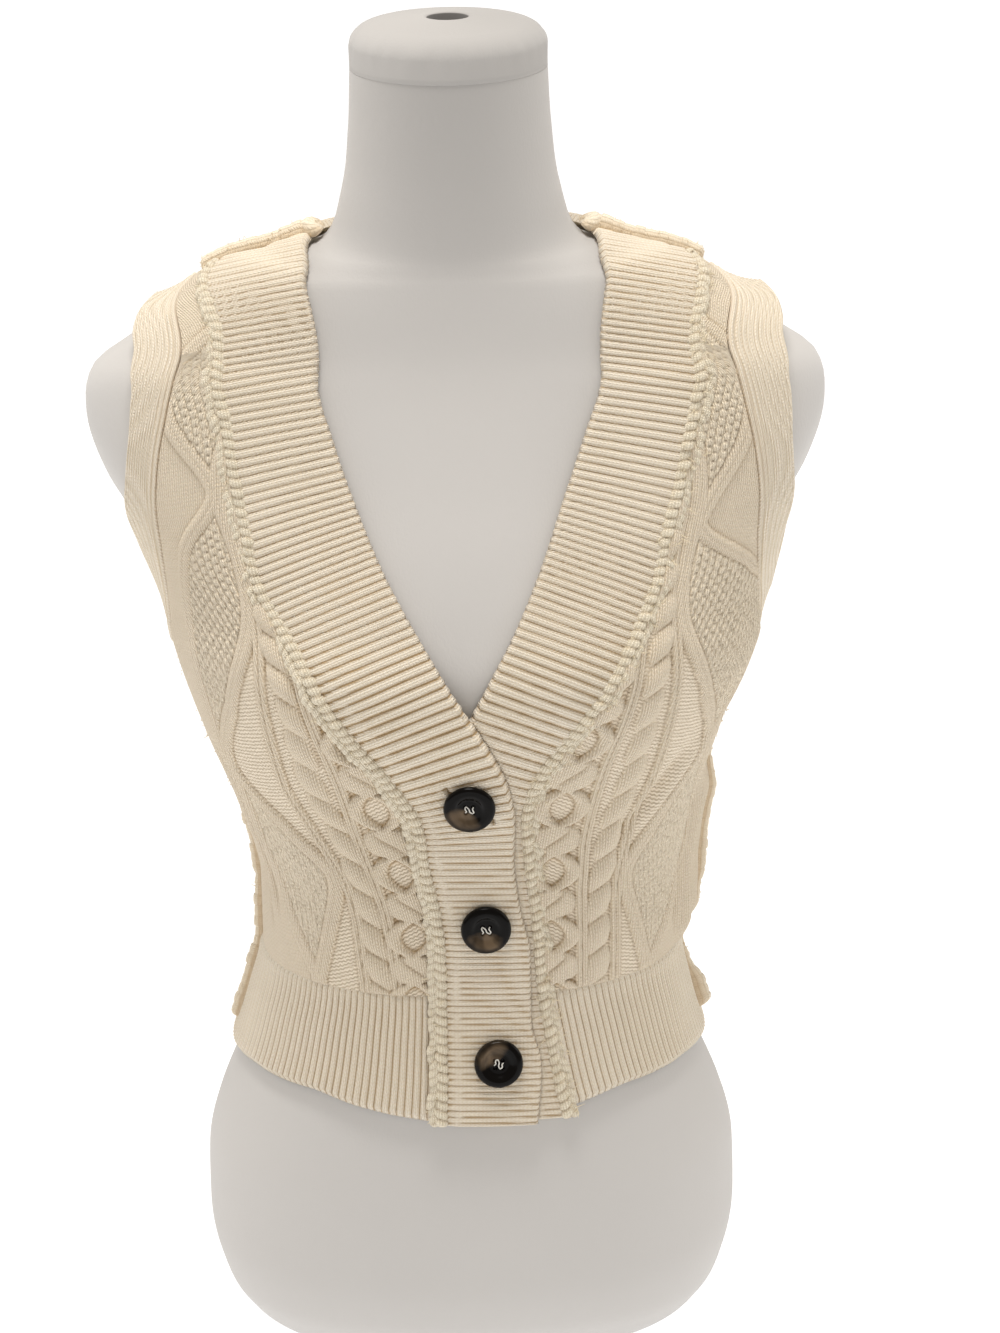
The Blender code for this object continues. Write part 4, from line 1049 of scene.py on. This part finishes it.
def build_hem_rib(name, node_name, start, end, cells):
    """A stretch of the hem: rows run round it, columns up it, its ribs upright.

    Its top is tucked a little under the panels. Its ribs are |sin|^0.8 and scallop its edge.
    """
    rows, across = FINE * cells + 1, FINE * HEM_CELLS_UP + 1
    knots, heights = columns(HEM_EDGE)
    rise = np.linspace(0.0, 1.0, across)
    first = start(rise)
    angle = first + (end - first) * np.linspace(0.0, 1.0, rows)[:, None]
    low = smooth_curve(180.0 - abs(180.0 - abs(angle)), knots, heights)
    height = low + (RIB_TOP + HEM_TUCK - low) * rise
    base = cloth_ease(angle, height)
    _, run, along = measured(angle, height, base)
    spread = 0.93 + 0.3 * abs(np.sin(np.radians(angle[:, across // 2]))) ** 8
    steps = np.gradient(along[:, across // 2]) / (settings().hem_pitch * spread)
    phase = np.cumsum(steps)[:, None] + 0.0 * run
    rib = abs(np.sin(np.pi * phase)) ** 0.8
    height = height - 0.5 * rib * (1.0 - smooth_step(rise, 0.0, 0.06))
    inner = on_form(*[grid[::FINE, ::FINE] for grid in (angle, height, base)])
    sunk = base - 0.6 * smooth_step(height, RIB_TOP - 1.5, RIB_TOP + 1.5)
    return finish_wall(name, node_name, (angle, height, sunk), run, along,
                       settings().hem_rise * rib, 3, 0.45, (1.7, 0.0, 0.9, 0.9), inner=inner,
                       uv=(2.0 * settings().wale * phase, run), fade=(0.7, 4.5, 0.7, 0.7))


def build_armhole_band(side):
    """A ring round the stump: two raised welts by its seam, then fine ribs along its length."""
    last = len(ARMHOLE) - 1
    free = ARMHOLE_FREE[side]

    def place(positions, lateral):
        row = last - abs(last - positions)
        behind = positions > last
        lines = (*armhole_line(row, 0, behind), *armhole_line(row, free, behind),
                 table_rows(ARMHOLE, row)[free + 2])
        seam_angle, seam_height, free_angle, free_height, off = [line[:, None] for line in lines]
        angle = side_sign(side) * (seam_angle + (free_angle - seam_angle) * lateral)
        height = seam_height + (free_height - seam_height) * lateral
        return angle, height, cloth_ease(angle, height) + off * lateral ** 2

    rows, across = ARMHOLE_CELLS
    positions = even_rows(place, 0.5, 2 * last, FINE * rows + 1)[:-1]
    grids = place(positions, np.linspace(0.0, 1.0, FINE * across + 1))
    _, run, along = measured(*grids)
    share = run / run[:, -1:]
    welts = ridge(share - 0.06, 0.035) + ridge(share - 0.18, 0.035)
    fine = abs(np.sin(np.pi * (share - 0.25) * 14.0)) * smooth_step(share, 0.24, 0.28)
    return finish_wall("rib_armhole_" + side, "armhole_band_" + side, grids, run, along,
                       0.65 * settings().hem_rise * welts + 0.6 * fine, 3, 0.7, (0.9, 1.7),
                       ring=True)


# --- raised seams and frayed ends ---

SHOULDER_SEAM, SIDE_SEAM = (623.0, 577.0), (384.0, 171.0)      # heights, from top to foot
YARN_RADIUS = 0.34         # of a loose end and of the buttons' thread
# Each side's linked seams: how uneven the one by the band is, its stitches' slant, its loose ends'
# count and longest reach, and the seeds of the draws.
SEAM_STYLE = {
    "right": {"wild": 0.5, "slant": 0.28, "ends": 320, "reach": 3.2, "line": 2, "roll": 11,
              "roll_ends": 5, "cord_ends": 15, "shoulder": 41, "shoulder_ends": 51,
              "side": 61, "side_ends": 71},
    "left": {"wild": 0.8, "slant": -0.28, "ends": 420, "reach": 4.6, "line": 4, "roll": 23,
             "roll_ends": 8, "cord_ends": 18, "shoulder": 43, "shoulder_ends": 53,
             "side": 67, "side_ends": 73},
}


def strands(starts, directions, bends, reach):
    """Short tapering yarn ends: start + direction L t + bend L t^2, with four sides each."""
    t = np.linspace(0.0, 1.0, 5)[None, :, None]
    path = starts[:, None] + reach[:, None, None] * (directions[:, None] * t
                                                      + bends[:, None] * t ** 2)
    along = unit(np.gradient(path, axis=1))
    side = unit(np.cross(along, np.array([0.31, 0.52, 0.79])))
    up = np.cross(side, along)
    thin = YARN_RADIUS * (1.0 - 0.6 * t)
    corners = np.arange(4) * math.pi / 2.0
    ring = (path[:, :, None] + (side[:, :, None] * np.cos(corners)[:, None]
                                + up[:, :, None] * np.sin(corners)[:, None]) * thin[:, :, None])
    count, steps = ring.shape[:2]
    index = np.arange(count * steps * 4).reshape(count, steps, 4)
    turned = np.roll(index, -1, 2)
    quads = np.stack([index[:, :-1], turned[:, :-1], turned[:, 1:], index[:, 1:]], -1)
    caps = np.concatenate([index[:, 0, ::-1], index[:, -1]])
    return ring.reshape(-1, 3), np.concatenate([quads.reshape(-1, 4), caps]), []


def lumpy_roll(angle, height, base, half_width, rise, pitch, wildness, seed, slant=0.15,
               groove=0.34, plump=0.4, tan=0.0):
    """A linked seam: a half ellipse along a line, swelling at each stitch by |sin|^plump.

    Each stitch has its own size and place, picked by a seeded draw. The notches between stitches
    take painted shade, and where tan is over 0 the roll's two faces take a tan painted shade while
    its crest keeps the lit colour. It gives the tube, its painted shade, its stitch places and the
    line's points, normals and sideways directions.
    """
    centre = on_form(angle, height, base)
    normal = form_normal(angle, height)
    side = unit(np.cross(unit(np.gradient(centre, axis=0)), normal))
    around = np.arange(14) * 2.0 * math.pi / 14
    across = np.cos(around)[None, :]
    up = np.maximum(np.sin(around), -0.12)[None, :]
    run = lengths(centre, 0)[:, None]
    half_width = np.broadcast_to(half_width, height.shape)[:, None]
    rise = np.broadcast_to(rise, height.shape)[:, None]
    phase = (run + slant * half_width * across) / pitch
    stitch = np.floor(phase).astype(int)
    stitch -= stitch.min()
    draw = np.random.default_rng(seed)
    size = 1.0 + wildness * draw.uniform(-0.35, 0.35, stitch.max() + 1)
    shift = wildness * draw.uniform(-0.28, 0.28, stitch.max() + 1)
    swell = abs(np.sin(np.pi * phase)) ** plump
    wide = half_width * ((1.0 - 0.7 * groove + 0.7 * groove * swell) * across
                         * (0.85 + 0.15 * size[stitch]) + shift[stitch] * 0.6 * (up > 0))
    high = rise * (1.0 - groove + groove * swell) * up * size[stitch]
    ends = edge_rounding(np.minimum(run, run[-1] - run), 3.0)
    points, quads, tris = tube_along(centre, side, normal, wide * (0.4 + 0.6 * ends),
                                     high * (0.3 + 0.7 * ends))
    # Painted shade: in the notches between stitches and, where tan is over 0, in tan on the two
    # faces.
    painted_shade = (2.0 * groove * np.clip(1.0 - swell, 0.0, 1.0)
              + tan * (1.0 - smooth_step(up, 0.5, 0.98)) + 0.0 * run)
    painted_shade = np.concatenate([painted_shade.ravel(), np.zeros(2)])
    uv = np.stack([np.broadcast_to(around / 6.3 * 12.0, high.shape),
                   np.broadcast_to(run, high.shape)], -1).reshape(-1, 2)
    return (points, quads, tris), painted_shade, np.concatenate([uv, np.zeros((2, 2))]), (
        centre, normal, side)


def frayed_ends(frame_lines, rise, half_width, count, reach, seed):
    """Loose yarn ends that start on the roll and lean outwards, drawn with a seed."""
    centre, normal, side = frame_lines
    draw = np.random.default_rng(seed)
    at = draw.integers(4, len(centre) - 4, count)
    lean = draw.uniform(-1.0, 1.0, count)
    starts = (centre[at] + side[at] * (half_width * 0.7 * lean)[:, None]
              + normal[at] * (rise * 0.8 * (1.0 - 0.5 * abs(lean)))[:, None])
    jitter = draw.normal(0.0, 0.45, (count, 3))
    directions = unit(side[at] * lean[:, None] * 1.1 + normal[at] * 0.55 + jitter)
    bends = draw.normal(0.0, 0.5, (count, 3)) - normal[at] * 0.25
    size = draw.uniform(reach * 0.4, reach, count)
    return strands(starts, directions, bends, size)


def seam_piece(place, side, skin, rolls, ends):
    """Joins rolls and yarn ends into one piece with their stitch attributes."""
    points, quads, tris = joined([roll[0] for roll in rolls] + ends)
    spare = sum(len(part[0]) for part in ends)
    painted_shade = np.concatenate([roll[1] for roll in rolls] + [np.zeros(spare)])
    uv = np.concatenate([roll[2] for roll in rolls] + [np.zeros((spare, 2))])
    new_piece(f"linked_seam_{place}_{side}", points, quads, tris, skin,
              (f"{place}_seam_{side}",), uv, {"painted_shade": painted_shade, "purl": np.zeros(len(points))})


def build_band_seam(side, table, skin):
    """The linked seam beside a front band, with a thin cord on its panel side."""
    last = len(table) - 1
    style = SEAM_STYLE[side]

    def line(positions, outwards=0.0):
        _, _, angle, height = table_rows(table, positions)
        world = side_sign(side) * (angle + outwards)
        base = cloth_ease(world, height) + WALL - 0.4
        return world, height, base + (overlap_lift(height, 0.1) if side == "right" else 0.0)

    positions = even_positions(lambda dense: on_form(*line(dense)), last, 760)[6:]
    draw = np.random.default_rng(style["line"])
    wander = smooth_curve(positions, np.linspace(0.0, last, 90), draw.uniform(-0.45, 0.45, 90))
    main = lumpy_roll(*line(positions), 3.7, 3.4, 5.0, style["wild"], style["roll"],
                      style["slant"], groove=0.46, plump=0.5)
    cord = lumpy_roll(*line(positions, 2.0 + wander), 2.9, 2.7, 4.2, 1.0, 31,
                      -1.6 * style["slant"])
    count, reach = style["ends"], style["reach"]
    ends = [frayed_ends(main[3], 3.0, 3.4, count // 3, reach, style["roll_ends"]),
            frayed_ends(cord[3], 1.8, 2.6, count, reach, style["cord_ends"])]
    seam_piece("band", side, skin, [main, cord], ends)


def build_shoulder_seam(side, skin):
    """The seam across band and panel at the shoulder, standing up, soft and frayed."""
    style = SEAM_STYLE[side]
    top = SHOULDER_SEAM[0]
    height = np.linspace(*SHOULDER_SEAM, 230)
    angle = side_sign(side) * (SHOULDER_ANGLE - 5.0 * smooth_step(height, top - 9.0, top))
    base = (EASE + WALL) * (1.0 - 0.4 * smooth_step(height, top - 7.0, top))
    bow = 0.85 + 0.3 * np.sin(np.linspace(0.2, 2.9, len(height)))
    knot = smooth_step(height, top - 18.0, top - 5.0)
    roll = lumpy_roll(angle, height, base, 3.4 + 2.6 * knot, 5.6 * bow + 2.2 * knot, 6.0, 0.3,
                      style["shoulder"], groove=0.07, tan=0.6)
    seam_piece("shoulder", side, skin, [roll],
               [frayed_ends(roll[3], 5.6, 2.6, 330, 2.4, style["shoulder_ends"])])


def build_side_seam(side, skin):
    """The seam down the side: low under the arm, a standing flange from the waist down."""
    style = SEAM_STYLE[side]
    height = np.linspace(*SIDE_SEAM, 520)
    angle = side_sign(side) * np.full(len(height), SIDE_ANGLE)
    base = cloth_ease(angle, height) + WALL - 0.3
    rise = smooth_curve(height, *columns(SIDE_FLANGE)[[0, 1 if side == "right" else 2]])
    roll = lumpy_roll(angle, height, base, 2.4, rise, 6.0, 0.35, style["side"], groove=0.09,
                      tan=0.75)
    seam_piece("side", side, skin, [roll],
               [frayed_ends(roll[3], 4.6, 1.6, 90, 1.6, style["side_ends"])])


# --- buttons ---

def build_button(name, angle, height, turn, rim, horn, thread):
    """A dished button: depth is a function of radius, with four pits where the thread goes in."""
    seat = on_form(angle, height, EASE + OVERLAP_LIFT + WALL + 1.7)
    outward = Vector(form_normal(angle, height))
    turned_out = np.array(outward.to_track_quat("Z", "Y").to_matrix())
    radii = np.concatenate([np.linspace(0.0, 5.6, 24), np.linspace(5.9, rim, 30)])
    angles = np.arange(96) * 2.0 * math.pi / 96
    radius, theta = np.meshgrid(radii, angles, indexing="ij")
    x, y = radius * np.cos(theta), radius * np.sin(theta)
    well = 1.5 * (1.0 - smooth_step(radius, 5.2, 8.4))
    lip = 0.35 * np.exp(-((radius - 9.6) / 1.1) ** 2)
    edge = (BUTTON_THICKNESS - 1.7) * (1.0 - edge_rounding(rim - radius, 2.2))
    top = BUTTON_THICKNESS - well + lip - edge - 0.25
    pits = np.zeros_like(x)
    holes = [(1.9 * sx, 1.9 * sy) for sx in (-1, 1) for sy in (-1, 1)]
    for hole_x, hole_y in holes:
        away = np.hypot(x - hole_x, y - hole_y)
        pits = np.maximum(pits, 1.0 - smooth_step(away, 0.75, 1.15))
    top = top - 1.4 * pits
    low_radii = np.array([rim - 0.15, rim - 1.8, 6.0])
    low_height = np.array([1.2, 0.0, 0.0])
    low_radius, low_theta = np.meshgrid(low_radii, angles, indexing="ij")
    low = np.stack([low_radius * np.cos(low_theta), low_radius * np.sin(low_theta),
                    np.broadcast_to(low_height[:, None], low_radius.shape)], -1)
    rings = np.concatenate([np.stack([x, y, top], -1)[1:], low])
    points, quads, tris = closed_rings(rings, [0.0, 0.0, top[0, 0]], [0.0, 0.0, 0.0])
    bright = np.cos(np.arctan2(points[:, 1], points[:, 0]) + math.pi / 2.0 - turn)
    from_centre = np.hypot(points[:, 0], points[:, 1])
    cloud = (smooth_step(bright, 0.0, 0.95) * smooth_step(from_centre, 0.5, 3.0)
             * (1.0 - 0.6 * smooth_step(from_centre, 9.0, 11.5)))
    new_piece("horn_button_" + name, points @ turned_out.T + seat, quads, tris, horn,
              ("button_" + name,), attributes={"cloud": cloud})

    def stitch(start, end, sink):
        t = np.linspace(0.0, 1.0, 14)[:, None]
        start, end = np.array([*start, 0.0]), np.array([*end, 0.0])
        arch = np.sin(np.pi * t[:, 0]) * 0.75 + sink
        path = start + (end - start) * t
        path[:, 0] += 0.45 * np.sin(2.0 * np.pi * t[:, 0])
        path[:, 2] += BUTTON_THICKNESS - 1.75 + arch
        along = unit(np.gradient(path, axis=0))
        side = unit(np.cross(along, [0.0, 0.0, 1.0]))
        up = np.cross(side, along)
        around = np.arange(8) * math.pi / 4.0
        wide = YARN_RADIUS * np.cos(around)[None, :] * np.ones((len(path), 1))
        high = YARN_RADIUS * np.sin(around)[None, :] * np.ones((len(path), 1))
        return tube_along(path, side, up, wide, high)

    spin = math.radians(turn * 12.0)
    low_left, high_left, low_right, high_right = [
        (x * math.cos(spin) - y * math.sin(spin), x * math.sin(spin) + y * math.cos(spin))
        for x, y in holes]
    points, quads, tris = joined([stitch(high_left, low_right, -0.1),
                                  stitch(low_left, high_left, -0.35),
                                  stitch(low_right, high_right, -0.35)])
    new_piece("button_thread_" + name, points @ turned_out.T + seat, quads, tris, thread)


# --- the form's pieces ---

def build_form(skin):
    """The torso: level sections drawn through as one smooth closed surface."""
    around = np.arange(150) * 2.4
    top = FORM_HEIGHT[-1]
    levels = np.concatenate([[0.0], np.linspace(0.15, 30.0, 20),
                             np.linspace(33.0, top - 0.15, 140), [top]])
    angle, height = np.meshgrid(around, levels)
    points, quads, tris = closed_rings(form_point(angle, height), [0.0, 0.0, 0.0],
                                       [0.0, 0.0, top])
    # Painted shade up the neck, most at the front and under the cap.
    neck_painted_shade = smooth_step(height, 470.0, 700.0) * (0.11 + 0.17 * np.cos(np.radians(angle)))
    new_piece("jersey_form", points, quads, tris, skin, ("dress_form",),
              attributes={"inside": np.append(neck_painted_shade.ravel(), [0.0, 1.0])})


def build_cap(skin):
    """The cap: a profile of radius and height carried round, with small tucks at its corner."""
    base = FORM_HEIGHT[-1] + 0.05
    top = base + CAP_THICKNESS + 0.4
    flat = CAP_RADIUS - CAP_CORNER
    lean = math.atan(2.0 * CAP_DOME / flat)
    turn = np.linspace(lean, math.pi / 2.0, 16)[1:]
    crown = np.concatenate([CAP_HOLE_RADIUS + np.array([0.3, 0.9, 1.8]),
                            np.linspace(14.0, flat, 12)])
    radius = np.concatenate([
        [CAP_HOLE_RADIUS, CAP_HOLE_RADIUS], crown,
        flat + CAP_CORNER * (np.sin(turn) - math.sin(lean)) / (1.0 - math.sin(lean)),
        [CAP_RADIUS, CAP_RADIUS, CAP_RADIUS - 0.2, CAP_HOLE_RADIUS]])
    dip = np.concatenate([[0.7, 0.25, 0.05], np.zeros(12)])
    height = np.concatenate([
        [base, top + CAP_DOME - 1.4], top + CAP_DOME * (1.0 - (crown / flat) ** 2) - dip,
        top - CAP_CORNER * (math.cos(lean) - np.cos(turn)),
        [base + 3.0, base + 0.15, base, base]])
    around = np.arange(150) * 2.0 * math.pi / 150
    radius, theta = np.meshgrid(radius, around, indexing="ij")
    level = np.broadcast_to(height[:, None], radius.shape)
    draw = np.random.default_rng(3)
    tucks = sum(draw.uniform(0.3, 1.0) * np.sin(k * theta + draw.uniform(0.0, 6.3))
                for k in (7, 11, 17, 23, 31))
    zone = np.exp(-((level - top + CAP_CORNER * 0.8) / 6.0) ** 2) * smooth_step(radius, 30.0, 46.0)
    radius = radius + 0.22 * tucks * zone
    points = np.stack([radius * np.cos(theta), radius * np.sin(theta), level], -1)
    quads = grid_faces(round_grid(radius.shape), True)
    # Painted shade over the whole cap, a little more on the wearer's left, darkest down its hole
    # and on its underside.
    inside = 0.26 + 0.04 * np.cos(theta)
    inside[[0, 1, -1]] = [[1.0], [0.75], [1.0]]
    new_piece("jersey_cap", points.reshape(-1, 3), quads.reshape(-1, 4), [], skin,
              ("neck_cap",), attributes={"inside": inside.ravel()})


# --- add-on ---

def amount(label, description, default, low=0.0):
    """A setting that is a number."""
    return bpy.props.FloatProperty(name=label, description=description, default=default, min=low)


def hex_colour(label, description, default):
    """A setting that is a colour, as hex."""
    return bpy.props.StringProperty(name=label, description=description, default=default)


class VestSettings(bpy.types.PropertyGroup):
    """The sizes and colours of the vest and its form."""

    rib_rise: amount("Rib rise", "How far the bands' ribs stand up, in mm", 1.4)
    hem_rise: amount("Hem rib rise", "How far the hem's ribs stand up, in mm", 1.5)
    rib_spread: amount("Rib spread", "Share of their usual distance between the bands' ribs",
                       1.0, 0.3)
    hem_pitch: amount("Hem rib pitch", "Distance between the hem's ribs, in mm", 4.0, 1.0)
    wale: amount("Stitch width", "Width of one knitted stitch, in mm", 2.6, 0.5)
    course: amount("Stitch height", "Height of one knitted stitch, in mm", 2.1, 0.5)
    rope_rise: amount("Rope rise", "How far the rope cables stand up, in mm", 3.0)
    ring_rise: amount("Ring rise", "How far the ring cables stand up, in mm", 2.9)
    twin_rise: amount("Twin rib rise", "How far the twin ribs stand up, in mm", 1.6)
    border_rise: amount("Border rise", "How far the diamonds' borders stand up, in mm", 2.2)
    moss_rise: amount("Moss rise", "How far the moss stitch's lumps stand up, in mm", 2.3)
    # The shade colours are painted shade between the stitches, and the gutter colour painted shade
    # in the gutters.
    yarn: hex_colour("Yarn colour", "Lit colour of the cream yarn, as hex", "#F4EADA")
    yarn_shade: hex_colour("Yarn shade", "Colour of the yarn between stitches, as hex", "#E2D0AF")
    panel_yarn: hex_colour("Panel colour", "Lit colour of the yarn in the panels, as hex",
                           "#F5E7D2")
    panel_shade: hex_colour("Panel shade", "Colour between the panels' stitches, as hex",
                            "#E3CEAA")
    yarn_gutter_shade: hex_colour("Yarn gutters", "Colour deep between the ribs, as hex", "#AF9064")
    jersey: hex_colour("Jersey colour", "Colour of the form's jersey, as hex", "#CECBC8")
    jersey_shade: hex_colour("Jersey shade", "Colour of the jersey's fainter patches, as hex",
                             "#C9C6C3")


def settings():
    """The scene's own settings."""
    return bpy.context.scene.vest_settings


def shared_material(name, maker, *values):
    """The material of that name, made once."""
    return bpy.data.materials.get(name) or maker(name, *values)


def knit_skin():
    """The panels' wool."""
    own = settings()
    return shared_material("cream_wool_cable_knit", knit_material, own.panel_yarn,
                           own.panel_shade, own.yarn_gutter_shade, own.wale, own.course, 0.8)


def rib_skin():
    """The bands' and the hem's wool."""
    own = settings()
    return shared_material("cream_wool_rib_knit", knit_material, own.yarn, own.yarn_shade,
                           own.yarn_gutter_shade, own.wale, own.course, 0.6)


def seam_skin():
    """The looped yarn beside the bands, paler than the cloth."""
    return shared_material("cream_wool_linked_seam", knit_material, "#FAF0DB", "#EBDCBD",
                           "#B59567", 1.7, 1.3, 0.7)


def flange_skin():
    """The turned edges at the sides and shoulders: cream wool with tan painted shade on their
    faces.
    """
    return shared_material("tan_wool_flange", knit_material, "#F5EAD6", "#EBDABD", "#CFB592",
                           1.7, 1.3, 0.5)


SIDES = (("right", BAND_RIGHT, WALES_RIGHT), ("left", BAND_LEFT, WALES_LEFT))


class VEST_OT_dress_form(bpy.types.Operator):
    """Builds the dress form and its neck cap"""

    bl_idname = "vest.dress_form"
    bl_label = "Dress form"

    def execute(self, context):
        own = settings()
        skin = shared_material("white_cotton_jersey", jersey_material, own.jersey,
                               own.jersey_shade)
        build_form(skin)
        build_cap(skin)
        return {"FINISHED"}


class VEST_OT_front_bands(bpy.types.Operator):
    """Builds the two ribbed front bands"""

    bl_idname = "vest.front_bands"
    bl_label = "Front bands"

    def execute(self, context):
        for side, band, _ in SIDES:
            piece = build_front_band(side, band)
        return {"FINISHED"}


class VEST_OT_front_panels(bpy.types.Operator):
    """Builds the two cabled fronts"""

    bl_idname = "vest.front_panels"
    bl_label = "Fronts"

    def execute(self, context):
        for side, band, wales in SIDES:
            piece = build_front_panel(side, band, wales)
        return {"FINISHED"}


class VEST_OT_back(bpy.types.Operator):
    """Builds the cabled back and its neck band"""

    bl_idname = "vest.back"
    bl_label = "Back"

    def execute(self, context):
        piece = build_back_panel()
        piece = build_back_neck_band()
        return {"FINISHED"}


class VEST_OT_ribs(bpy.types.Operator):
    """Builds the hem's ribs and the armhole bands"""

    bl_idname = "vest.ribs"
    bl_label = "Hem and armhole ribs"

    def execute(self, context):
        for side, band, _ in SIDES:
            sign = side_sign(side)
            seam_angle, seam_height = columns(band[PANEL_ROWS - 1:])[2:]
            share = (seam_height - seam_height[-1]) / (seam_height[0] - seam_height[-1])

            def start(rise, sign=sign, share=share, seam_angle=seam_angle):
                return sign * np.interp(rise, share[::-1], seam_angle[::-1])

            piece = build_hem_rib("rib_hem_front_" + side, "hem_rib_front_" + side, start,
                                  sign * SIDE_ANGLE, 36)
            piece = build_armhole_band(side)
        piece = build_hem_rib("rib_hem_back", "hem_rib_back", lambda rise: SIDE_ANGLE + 0.0 * rise,
                              360.0 - SIDE_ANGLE, 72)
        return {"FINISHED"}


class VEST_OT_seams(bpy.types.Operator):
    """Builds the raised linked seams with their frayed ends"""

    bl_idname = "vest.seams"
    bl_label = "Linked seams"

    def execute(self, context):
        for side, band, _ in SIDES:
            build_band_seam(side, band, seam_skin())
            build_shoulder_seam(side, flange_skin())
            build_side_seam(side, flange_skin())
        return {"FINISHED"}


class VEST_OT_buttons(bpy.types.Operator):
    """Builds the three buttons and their thread"""

    bl_idname = "vest.buttons"
    bl_label = "Buttons"

    def execute(self, context):
        horn = shared_material("polished_horn", horn_material)
        thread = shared_material("white_thread", thread_material)
        for button in BUTTONS:
            build_button(*button, horn, thread)
        return {"FINISHED"}


class VEST_OT_stage(bpy.types.Operator):
    """Sets the floor, the lights and the camera"""

    bl_idname = "vest.stage"
    bl_label = "Stage"

    def execute(self, context):
        scene = context.scene
        scene.view_settings.view_transform = "Standard"
        made, _, _ = new_material("pale_floor", Roughness=0.9, Specular_IOR_Level=0.1,
                                  Base_Color=(0.35, 0.35, 0.35, 1.0),
                                  Emission_Color=(1.0, 1.0, 1.0, 1.0), Emission_Strength=0.92)
        mesh = bpy.data.meshes.new("floor")
        reach = 14.0
        mesh.from_pydata([(-reach, -reach, 0), (reach, -reach, 0), (reach, reach, 0),
                          (-reach, reach, 0)], [], [(0, 1, 2, 3)])
        mesh.materials.append(made)
        floor = bpy.data.objects.new("floor", mesh)
        scene.collection.objects.link(floor)

        world = bpy.data.worlds.new("studio")
        world.use_nodes = True
        background = world.node_tree.nodes["Background"]
        background.inputs["Color"].default_value = (1.0, 0.93, 0.84, 1.0)
        background.inputs["Strength"].default_value = 0.42
        scene.world = world

        for name, power, place, size in (("top", 41.0, (-0.1, -0.35, 2.6), 1.0),
                                         ("left", 11.0, (-2.0, 0.5, 1.2), 1.3),
                                         ("right", 11.0, (2.0, 0.5, 1.2), 1.3)):
            light = bpy.data.lights.new(name, "AREA")
            light.energy = power
            light.shape = "DISK"
            light.size = size
            light.color = (1.0, 0.98, 0.95)
            lamp = bpy.data.objects.new(name, light)
            lamp.location = place
            aim = Vector((0.0, 0.0, 0.4)) - Vector(place)
            lamp.rotation_euler = aim.to_track_quat("-Z", "Y").to_euler()
            scene.collection.objects.link(lamp)

        pitch, distance, aim_height = math.radians(LOOK_DOWN), 2.4, 0.372
        camera_data = bpy.data.cameras.new("camera")
        camera_data.sensor_width = 36.0
        camera_data.sensor_fit = "AUTO"
        camera_data.lens = 123.15
        camera_data.shift_x = 0.02926
        camera = bpy.data.objects.new("camera", camera_data)
        turn = (Matrix.Rotation(math.radians(90.0) - pitch, 4, "X")
                @ Matrix.Rotation(math.radians(-1.2), 4, "Z"))
        place = Vector((0.0, -distance * math.cos(pitch), aim_height + distance * math.sin(pitch)))
        camera.matrix_world = Matrix.Translation(place) @ turn
        scene.collection.objects.link(camera)
        scene.camera = camera
        return {"FINISHED"}


class VEST_PT_panel(bpy.types.Panel):
    """Lists the vest's settings and pieces"""

    bl_label = "Cable-knit vest"
    bl_idname = "VEST_PT_panel"
    bl_space_type = "VIEW_3D"
    bl_region_type = "UI"
    bl_category = "Vest"

    def draw(self, context):
        for key in VestSettings.__annotations__:
            self.layout.prop(settings(), key)
        for operator in OPERATORS:
            self.layout.operator(operator.bl_idname)


OPERATORS = (VEST_OT_dress_form, VEST_OT_front_bands, VEST_OT_front_panels, VEST_OT_back,
             VEST_OT_ribs, VEST_OT_seams, VEST_OT_buttons, VEST_OT_stage)
CLASSES = (VestSettings, *OPERATORS, VEST_PT_panel)


def register():
    """Adds the settings, the operators and the panel."""
    for cls in CLASSES:
        bpy.utils.register_class(cls)
    bpy.types.Scene.vest_settings = bpy.props.PointerProperty(type=VestSettings)


def unregister():
    """Takes them away again."""
    del bpy.types.Scene.vest_settings
    for cls in reversed(CLASSES):
        bpy.utils.unregister_class(cls)


def main():
    """Builds every piece and the stage."""
    register()
    for operator in OPERATORS:
        group, name = operator.bl_idname.split(".")
        getattr(getattr(bpy.ops, group), name)()
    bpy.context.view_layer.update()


if __name__ == "__main__":
    main()
